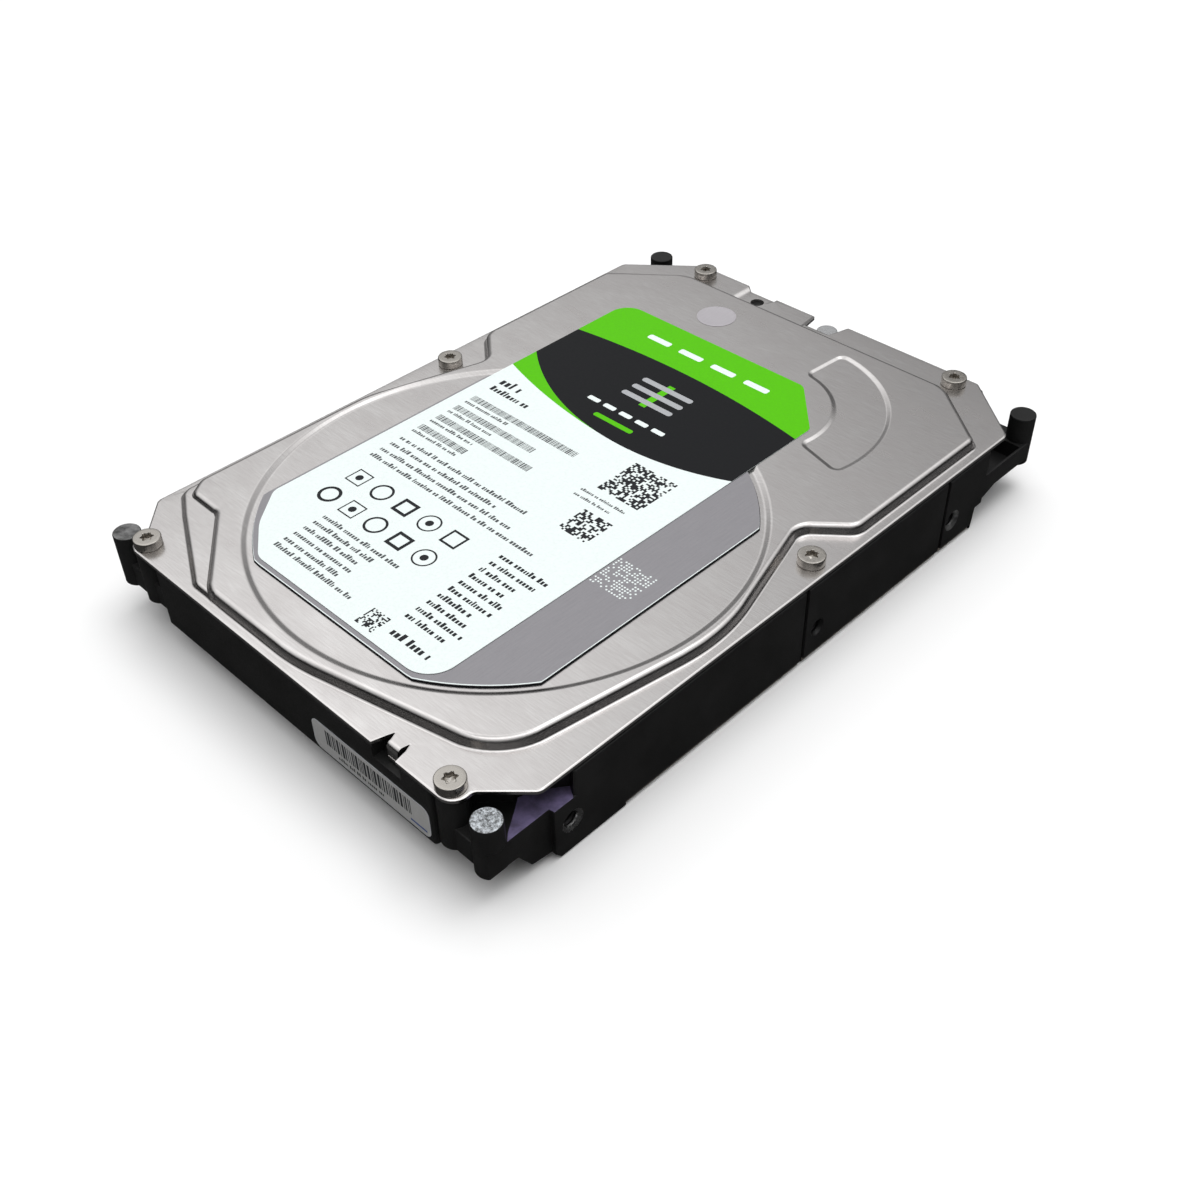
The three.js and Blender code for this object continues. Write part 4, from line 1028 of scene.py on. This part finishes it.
def port_seal():
    low, high = box_mm("port_seal")
    centre = (low + high) / 2
    radius = (high[0] - low[0]) / 2
    profile = [(radius, low[2]), (radius, high[2] - 0.03), (radius - 0.08, high[2]),
               (radius * 0.9, high[2]), (radius * 0.86, high[2] - 0.02), (radius * 0.4, high[2] - 0.015),
               (0.2, high[2] - 0.01)]
    made = Mesh().add(*turned(centre, profile, 72))
    made.piece("port_seal_disc", [FINISH["seal_foil"]], slot="seal_foil", replaces=["port_seal"])


top_label()
cover_foil()
bar_label()
port_seal()

# ---- Casting ------------------------------------------------------------------------------------

TUB_RIGHT = [
    (38.3, FRONT_FACE, 0.6), (39.5, -68.5, 0), (46.6, -60.8, 2), (HALF_WIDTH, -55.5, 0.5),
    (HALF_WIDTH, 55.3, 0.5), (42.8, 67.2, 1), (37.6, 72.9, 0.6),
]
TUB_LEFT = [
    (-37.6, 72.9, 0.6), (-42.8, 67.2, 1), (-HALF_WIDTH, 55.3, 0.5), (-HALF_WIDTH, -55.5, 0.5),
    (-46.6, -60.8, 2), (-39.5, -68.5, 0), (-34.6, FRONT_FACE, 0.6),
]
RAIL_PROFILE = [
    (-59.2, 0, 0.3), (52.8, 0, 0.4), (53.3, 5.1, 0.8), (59.5, 7.2, 0.8), (70.9, 7.2, 0.3),
    (70.9, LEDGE_TOP, 0.3), (-70.9, LEDGE_TOP, 0.3), (-70.9, 6.3, 0.3), (-67.0, 6.1, 0.8),
    (-64.4, 2.0, 0.5), (-60.3, 1.4, 0.3),
]
POST = {"x": 48.2, "y": 70.95, "radius": 2.55, "bottom": 6.0, "top": 16.8}
FRONT_LEDGE = [(44.4, -62.1), (46.8, -66.5), (55, -66.5), (55, -56.2), (50.6, -56.0), (48.7, -54.9), (45.7, -58.9)]
CORNER_WELL = [(43.2, 68.0), (50.3, 56.9), (50.3, 68.0)]
SIDE_HOLES_Y = [45.0, 3.4, -56.6]
SIDE_HOLE_Z = 6.35
BOTTOM_HOLES_Y = [32.22, -12.23, -43.98]
BEYOND = 80.0


def boolean(target, tools, operation):
    """Joins or cuts a mesh object with shells, each a (vertices, faces) pair."""
    for vertices, faces in tools:
        mesh = bpy.data.meshes.new("tool")
        mesh.from_pydata((np.asarray(vertices) * MM).tolist(), [], [list(map(int, f)) for f in faces])
        tool = bpy.data.objects.new("tool", mesh)
        bpy.context.scene.collection.objects.link(tool)
        step = target.modifiers.new(operation, "BOOLEAN")
        step.operation = operation
        step.solver = "EXACT"
        step.object = tool
    shown = target.evaluated_get(bpy.context.evaluated_depsgraph_get())
    result = bpy.data.meshes.new_from_object(shown)
    target.modifiers.clear()
    target.data = result
    for tool in [o for o in bpy.data.objects if o.name.startswith("tool")]:
        bpy.data.objects.remove(tool)


def along_x(profile, x0, x1, bevel):
    """A prism along X over an outline of (y, z)."""
    v, faces = prism(profile, x0, x1, bevel)
    return np.column_stack([v[:, 2], v[:, 0], v[:, 1]]), faces


def sided(side, inner, outer, y0, y1, z0, z1, bevel=0.0):
    x0, x1 = sorted((side * inner, side * outer))
    return block(x0, x1, y0, y1, z0, z1, bevel)


def outline_of_side(corners, side):
    """An anticlockwise outline for the right side, or its mirror image for the left one."""
    points = np.array(corners, float)
    return points if side > 0 else (points * [-1, 1])[::-1]


def column(x, y, radius, bottom, top, edge=0.25, count=64):
    turns = [math.radians(90 * k / 3) for k in range(4)]
    profile = [(radius - edge, bottom), (radius, bottom + edge)]
    profile += [(radius - edge + edge * math.cos(t), top - edge + edge * math.sin(t)) for t in turns]
    return turned((x, y), profile, count)


def threaded_hole(radius, depth, mouth, pitch=0.8):
    """The space of a threaded hole with a countersunk mouth, its mouth at the origin, upwards."""
    profile = [(0.3, -depth - 0.5), (radius - 0.18, -depth)]
    level = -depth + pitch / 2
    while level < -pitch:
        profile += [(radius + 0.12, level), (radius - 0.18, level + pitch / 2)]
        level += pitch
    profile += [(radius - 0.1, -0.5), (mouth, 0.0), (mouth, 1.0)]
    return turned((0, 0), profile, 48)


def base_casting():
    tub = rounded(TUB_RIGHT + TUB_LEFT)
    shell = Mesh().add(*prism(tub, DECK_UNDER, RIM_TOP, 0.3, 3))
    made = shell.piece("drive_casting", [FINISH["black_casting"]], slot="black_casting",
                       replaces=["base_casting"])
    rails = [along_x(rounded(RAIL_PROFILE), *sorted((44.6 * side, HALF_WIDTH * side)), 0.22) for side in (-1, 1)]
    webs = [sided(side, 36, 48.5, -72.6, -60, 6.3, LEDGE_TOP, 0.25) for side in (-1, 1)]
    webs += [sided(side, 36, 48.5, 58, 72.6, 7.2, LEDGE_TOP, 0.25) for side in (-1, 1)]
    posts = [column(sx * POST["x"], sy * POST["y"], POST["radius"], POST["bottom"], POST["top"])
             for sx in (-1, 1) for sy in (-1, 1)]
    bosses = [column(*SCREW_PLACES[k], 2.6, 6.3, RIM_TOP, 0.15) for k in (0, 5)]
    boolean(made, rails + webs + posts + bosses, "UNION")

    chamber = [prism(CHAMBER, DECK_TOP, RIM_TOP + 2)]
    recesses = [sided(side, 49.8, 60, -BEYOND, -60.3, -1, 12) for side in (-1, 1)]
    recesses += [sided(side, 50.35, 60, -45, 52.5, -1, 1.0) for side in (-1, 1)]
    recesses += [prism(outline_of_side(CORNER_WELL, side), 8.0, 20) for side in (-1, 1)]
    bays = [block(3.8, 44.6, 62.6, BEYOND, -1, 8.6), block(-8.0, 4.0, 62.6, BEYOND, -1, 7.4)]
    bays.append(block(25.0, 31.7, -BEYOND, -70.9, 14.4, 18))
    bays.append(block(-7.5, 4.5, 67.4, BEYOND, 10.5, 20))
    bays.append(block(-23.4, -13.5, COVER_REAR - 1.3, BEYOND, 10.5, 20))
    bays.append(prism(np.array(FRONT_LEDGE), LEDGE_TOP, 20))
    holes = [column(x, y, 1.6, 9.5, 18.5, 0.05, 32) for x, y in SCREW_PLACES]
    for i in range(1, 5):
        x, y = middle_mm(f"board_screw_{i}")[:2]
        holes.append(column(x, y, 1.3, -1, 6.2, 0.05, 32))
    for i in range(1, 3):
        x, y = middle_mm(f"yoke_screw_{i}")[:2]
        holes.append(column(x, y, 1.4, 5.4, 8, 0.05, 32))
    for side in (-1, 1):
        for y in SIDE_HOLES_Y:
            vertices, faces = threaded_hole(1.6, 4.0, 1.75 if y == SIDE_HOLES_Y[1] else 2.2)
            holes.append((on_side(vertices, side, side * HALF_WIDTH, y, SIDE_HOLE_Z), faces))
        for y in BOTTOM_HOLES_Y:
            vertices, faces = threaded_hole(1.6, 4.0, 2.0)
            holes.append((vertices * [1, -1, -1] + [side * 47.625, y, 0.0], faces))
        for y in (-0.3, 41.8):
            recesses.append(sided(side, 50.2, 52, y - 0.5, y + 0.5, -1, 18))
    boolean(made, chamber + recesses + bays + holes, "DIFFERENCE")

    plate = [column(*SPINDLE, 15, 3.2, DECK_TOP - 0.5, 0.4, 96)]
    seat = [hollow_turned(SPINDLE, [(4.6, DECK_TOP - 0.5), (5.6, DECK_TOP - 0.5), (5.6, 8.6), (4.6, 8.6)])]
    pivot_seat = [column(*PIVOT, 4.6, DECK_TOP - 0.5, 7.5, 0.2)]
    rear_boss = [column(1.0, 69.6, 2.2, 10.0, 17.3, 0.3)]
    boolean(made, plate + seat + pivot_seat + rear_boss, "UNION")
    shaft_low, shaft_high = box_mm("spindle_shaft")
    shaft_radius = (shaft_high[0] - shaft_low[0]) / 2
    ring_groove = hollow_turned(SPINDLE, [(11.2, 2.0), (12.2, 2.0), (12.2, 3.6), (11.2, 3.6)], 96)
    boolean(made, [column(*SPINDLE, shaft_radius + 0.3, shaft_low[2] - 0.1, 10, 0.05, 48),
                   column(*PIVOT, 1.5, 5.6, 8, 0.05, 32), ring_groove], "DIFFERENCE")
    finish_casting(made)


def finish_casting(made):
    """Bare and worn metal on the front post tops, cut metal in the front side holes and the bottom holes, machined
    metal on the rear boss, the worn finish as painted shade in the rear side holes, and a lighter strip on the foot
    of the side rails.
    """
    mesh = made.data
    mesh.materials.clear()
    for one in (FINISH["black_casting"], bare_casting(), worn_and_shaded_casting(), cut_thread(),
                FINISH["machined_aluminium"], rail_foot_strip()):
        mesh.materials.append(one)
    for face in mesh.polygons:
        x, y, z = (c / MM for c in face.center)
        flat_top = face.normal.z > 0.95
        kind = 0
        if flat_top and z > POST["top"] - 0.4 and y < -POST["y"] + 3.0 and abs(x) > 45.4:
            kind = 1 if x > 0 else 2
        elif face.normal.z > 0.3 and z > 16.9 and math.hypot(x - 1.0, y - 69.6) < 2.3:
            kind = 4
        elif abs(x) > 49.9 and abs(face.normal.x) < 0.97:
            if math.hypot(y - SIDE_HOLES_Y[2], z - SIDE_HOLE_Z) < 2.15:
                kind = 3
            # The rear side holes take the darker worn finish instead of cut metal: painted shade, keeping their
            # rings dimmer than the front holes'.
            elif math.hypot(y - SIDE_HOLES_Y[0], z - SIDE_HOLE_Z) < 2.15:
                kind = 2
        elif z < 2.0 and abs(face.normal.z) < 0.97 and abs(abs(x) - 47.625) < 2.1:
            if min(abs(y - hole) for hole in BOTTOM_HOLES_Y) < 2.1:
                kind = 3
        # The lighter brownish strip on the foot of each side rail.
        if abs(face.normal.x) > 0.9 and abs(abs(x) - 50.35) < 0.05 and z < 1.2:
            kind = 5
        face.material_index = kind
        face.use_smooth = True
    mesh.set_sharp_from_angle(angle=math.radians(38))
    keep_flats_flat(made)


def ledge_coat():
    """A thin sheet on the flat ledge behind the right front post, carrying the violet painted sheen."""
    outline = [(44.7, -62.0), (45.9, -63.6), (48.6, -67.6), (49.75, -68.8), (49.75, -60.35), (50.75, -60.2),
               (50.75, -56.3), (50.5, -56.1), (48.7, -55.0), (45.8, -58.9)]
    coat = Mesh().add(*prism(np.array(outline), LEDGE_TOP - 0.05, LEDGE_TOP + 0.015))
    coat.piece("ledge_coat", [painted_sheen_ledge()], slot="black_casting")


base_casting()
ledge_coat()

# ---- Circuit board side -------------------------------------------------------------------------


def board_details():
    """Test pads and the plug's solder joints on the outer side of the circuit board."""
    low, high = box_mm("circuit_board")
    surface = low[2]
    made = Mesh()
    for k in range(46):
        x = rng.uniform(low[0] + 4, high[0] - 4)
        y = rng.uniform(low[1] + 4, high[1] - 6)
        if min(math.hypot(x - sx, y - sy) for sx in (-38, 38) for sy in (8, 58)) < 5 or (x > 2 and y > 58):
            continue
        made.add(*turned((x, y), [(0.2, surface + 0.05), (0.75, surface + 0.05), (0.75, surface - 0.05),
                                  (0.55, surface - 0.09), (0.15, surface - 0.1)][::-1], 20))
    made.piece("board_test_pads", [GOLD], slot="board_mask")
    joints = Mesh()
    for k in range(22):
        x = 7.2 + k * 1.68
        joints.add(*turned((x, 61.2), [(0.12, surface - 0.42), (0.3, surface - 0.3), (0.52, surface - 0.05),
                                       (0.52, surface + 0.05), (0.1, surface + 0.05)], 16))
    joints.piece("plug_solder_joints", [TIN], slot="board_mask")


def chip_legs():
    """Rows of gull-wing legs on both long sides of each chip."""
    for node in ("controller_chip", "memory_chip", "motor_driver_chip"):
        low, high = box_mm(node)
        legs = Mesh()
        count = int((high[1] - low[1]) / 0.65) - 1
        for side, edge in ((-1, low[0]), (1, high[0])):
            for k in range(count):
                y = low[1] + 0.65 * (k + 1)
                x0, x1 = sorted((edge - side * 0.05, edge + side * 0.9))
                legs.add(*block(x0, x1, y - 0.13, y + 0.13, low[2] + 0.005, low[2] + 0.16, 0.03))
        legs.piece(f"{node}_legs", [TIN], slot="chip_epoxy")


def plug_contacts():
    """Gold strips on the under side of the two tongues of the plug."""
    low, high = box_mm("plug_connector")
    contacts = Mesh()
    under = low[2] + 2.0
    for start, count in ((9.6, 7), (23.0, 15)):
        for k in range(count):
            x = start + k * 1.27
            contacts.add(*block(x - 0.35, x + 0.35, high[1] - 6.2, high[1] - 0.9, under - 0.12, under + 0.05, 0.03))
    contacts.piece("plug_contacts", [GOLD], slot="black_plastic")


board_details()
chip_legs()
plug_contacts()

# ---- Turned parts inside the case ---------------------------------------------------------------


def ring_piece(name, node, inner, body, slot, edge=0.1, count=128):
    """A plain ring in the box of its CAD node, with softened edges."""
    low, high = box_mm(node)
    centre = (low + high) / 2
    outer = (high[0] - low[0]) / 2
    z0, z1 = low[2], high[2]
    profile = [(inner, z0 + edge), (inner + edge, z0), (outer - edge, z0), (outer, z0 + edge),
               (outer, z1 - edge), (outer - edge, z1), (inner + edge, z1), (inner, z1 - edge)]
    made = Mesh().add(*hollow_turned(centre, profile, count))
    made.piece(name, [FINISH[slot]], body=body, slot=slot, replaces=[node])


def rod_piece(name, node, body, slot, edge=0.25):
    low, high = box_mm(node)
    centre = (low + high) / 2
    made = Mesh().add(*column(centre[0], centre[1], (high[0] - low[0]) / 2, low[2], high[2], edge, 64))
    made.piece(name, [FINISH[slot]], body=body, slot=slot, replaces=[node])


ring_piece("lower_disc_platter", "disc_lower", 12.6, "spindle_rotor", "disc_media", 0.12, 192)
ring_piece("upper_disc_platter", "disc_upper", 12.6, "spindle_rotor", "disc_media", 0.12, 192)
ring_piece("platter_spacer", "disc_spacer", 12.6, "spindle_rotor", "machined_aluminium")
ring_piece("motor_magnet_ring", "rotor_magnet", 9.95, "spindle_rotor", "magnet", 0.08)
ring_piece("pivot_bearing_sleeve", "bearing_cartridge", 2.3, "head_actuator", "nickel", 0.2, 96)
rod_piece("motor_shaft", "spindle_shaft", HOUSING, "nickel")
rod_piece("latch_pivot_pin", "latch_pin", HOUSING, "nickel")
for i in (1, 2):
    rod_piece(f"crash_stop_sleeve_{i}", f"crash_stop_{i}", HOUSING, "gasket_rubber", 0.3)

# ---- CAD nodes that stay, with their finishes and softened edges ----------------------------------

slot_of = {row["node"]: row["material_slot"] for row in frame["record"]["subparts"]}
SOFTENED = {"plug_connector": 0.12, "jumper_block": 0.1, "controller_chip": 0.12, "memory_chip": 0.12,
            "motor_driver_chip": 0.12, "circuit_board": 0.08, "lower_yoke": 0.15, "upper_yoke": 0.15,
            "lower_magnet": 0.15, "upper_magnet": 0.15, "flex_bracket": 0.2, "breather_filter": 0.4,
            "recirculation_filter": 0.3, "board_foam": 0.1}

for node, piece in frame["nodes"].items():
    if piece.hide_render:
        continue
    piece.data.materials.clear()
    piece.data.materials.append(FINISH[slot_of[node]])
    if node in SOFTENED:
        soft = piece.modifiers.new("softened_edges", "BEVEL")
        soft.width = SOFTENED[node] * MM
        soft.segments = 2
        soft.limit_method = "ANGLE"
        soft.angle_limit = math.radians(50)

# ---- Floor, light and camera --------------------------------------------------------------------


def floor():
    """A pale sheet under the drive. Shiny faces see it darker than the camera does, as under a hooded lamp."""
    mesh = bpy.data.meshes.new("studio_floor")
    ring = circle((0, 0), 2.5, 64)
    mesh.from_pydata([(x, y, -0.0002) for x, y in ring], [], [list(range(len(ring)))])
    made = Finish("studio_floor_finish", rough=0.9, specular=0.1)
    path = made.add("ShaderNodeLightPath")
    made.set(colour=made.mix(path.outputs["Is Glossy Ray"], grey(0.93), grey(0.05)))
    mesh.materials.append(made.material)
    sheet = bpy.data.objects.new("studio_floor", mesh)
    bpy.context.scene.collection.objects.link(sheet)


SKY = [(0.0, 0.01), (0.34, 0.02), (0.5, 0.6), (0.8, 1.2), (0.92, 2.4), (0.965, 1.1)]
SIDEWAYS = [(0.0, 1.0), (0.18, 1.3), (0.3, 0.6), (0.4, 0.6), (0.53, 1.2), (1.0, 0.8)]
REAR_GLOW = 0.39
FRONT_SHADE = 0.15
FRONT_CARD = 0.15


def set_stops(ramp, values):
    stops = ramp.color_ramp.elements
    stops[0].position, stops[0].color = values[0][0], grey(values[0][1])
    stops[1].position, stops[1].color = values[-1][0], grey(values[-1][1])
    for position, value in values[1:-1]:
        stops.new(position).color = grey(value)


def studio_sky():
    """Soft light all round: dark at the horizon, bright overhead and brighter on the left of the drive.
    The camera sees a pale backdrop instead."""
    world = bpy.data.worlds.new("studio")
    bpy.context.scene.world = world
    world.use_nodes = True
    tree = world.node_tree

    def calculated(operation, first, second):
        node = tree.nodes.new("ShaderNodeMath")
        node.operation = operation
        tree.links.new(first, node.inputs[0])
        tree.links.new(second, node.inputs[1])
        return node.outputs["Value"]

    def ranged(value, start, end, low, high):
        node = tree.nodes.new("ShaderNodeMapRange")
        for socket, number in (("From Min", start), ("From Max", end), ("To Min", low), ("To Max", high)):
            node.inputs[socket].default_value = number
        tree.links.new(value, node.inputs["Value"])
        return node.outputs["Result"]

    def ramped(value, stops):
        node = tree.nodes.new("ShaderNodeValToRGB")
        tree.links.new(value, node.inputs["Fac"])
        set_stops(node, stops)
        return node.outputs["Color"]

    place = tree.nodes.new("ShaderNodeTexCoord").outputs["Generated"]
    parts = tree.nodes.new("ShaderNodeSeparateXYZ")
    tree.links.new(place, parts.inputs["Vector"])
    rearward = tree.nodes.new("ShaderNodeVectorMath")
    rearward.operation = "DOT_PRODUCT"
    rearward.inputs[1].default_value = (-0.707, 0.707, 0.0)
    tree.links.new(place, rearward.inputs[0])
    behind, height = rearward.outputs["Value"], parts.outputs["Z"]

    level = calculated("MAXIMUM", height, ranged(behind, 0.1, 0.6, 0.0, REAR_GLOW))
    level = calculated("SUBTRACT", level, ranged(behind, -0.15, -0.6, 0.0, FRONT_SHADE))
    front_card = calculated("MULTIPLY", ranged(behind, -0.7, -0.86, 0.0, 1.0),
                            ranged(height, 0.2, 0.27, 0.0, FRONT_CARD))
    shade = calculated("ADD", ramped(level, SKY), front_card)
    sidelong = ramped(ranged(parts.outputs["X"], -1.0, 1.0, 0.0, 1.0), SIDEWAYS)
    light, backdrop = tree.nodes["Background"], tree.nodes.new("ShaderNodeBackground")
    tree.links.new(shade, light.inputs["Color"])
    tree.links.new(sidelong, light.inputs["Strength"])
    backdrop.inputs["Color"].default_value = grey(0.88)
    path, mix = tree.nodes.new("ShaderNodeLightPath"), tree.nodes.new("ShaderNodeMixShader")
    tree.links.new(path.outputs["Is Camera Ray"], mix.inputs["Fac"])
    tree.links.new(light.outputs["Background"], mix.inputs[1])
    tree.links.new(backdrop.outputs["Background"], mix.inputs[2])
    tree.links.new(mix.outputs["Shader"], tree.nodes["World Output"].inputs["Surface"])


LAMP_POWER = 3.75


def lamp(name, place, aim, size, power):
    data = bpy.data.lights.new(name, "AREA")
    data.size = size
    data.energy = power
    made = bpy.data.objects.new(name, data)
    bpy.context.scene.collection.objects.link(made)
    made.location = place
    direction = np.array(aim, float) - np.array(place, float)
    made.rotation_mode = "QUATERNION"
    made.rotation_quaternion = Vector(direction).to_track_quat("-Z", "Y")
    made.visible_glossy = False


CAMERA_DIRECTION = 45.285
CAMERA_ELEVATION = 41.18
CAMERA_ROLL = -1.256
CAMERA_PLACE = (151.6, -149.6, 170.6)
CAMERA_LENS = 41.76


def camera():
    data = bpy.data.cameras.new("camera")
    data.sensor_width = 36.0
    data.lens = CAMERA_LENS
    data.clip_start = 0.01
    data.clip_end = 20.0
    made = bpy.data.objects.new("camera", data)
    bpy.context.scene.collection.objects.link(made)
    turn = Matrix.Rotation(math.radians(CAMERA_DIRECTION), 4, "Z")
    tilt = Matrix.Rotation(math.radians(90 - CAMERA_ELEVATION), 4, "X")
    roll = Matrix.Rotation(math.radians(CAMERA_ROLL), 4, "Z")
    place = Matrix.Translation([c * MM for c in CAMERA_PLACE])
    made.matrix_world = place @ turn @ tilt @ roll
    bpy.context.scene.camera = made


floor()
studio_sky()
lamp("overhead_softbox", (0.0, 0.2, 1.04), (0, 0, 0), 0.7, LAMP_POWER)
camera()
bpy.context.scene.view_settings.view_transform = "Standard"
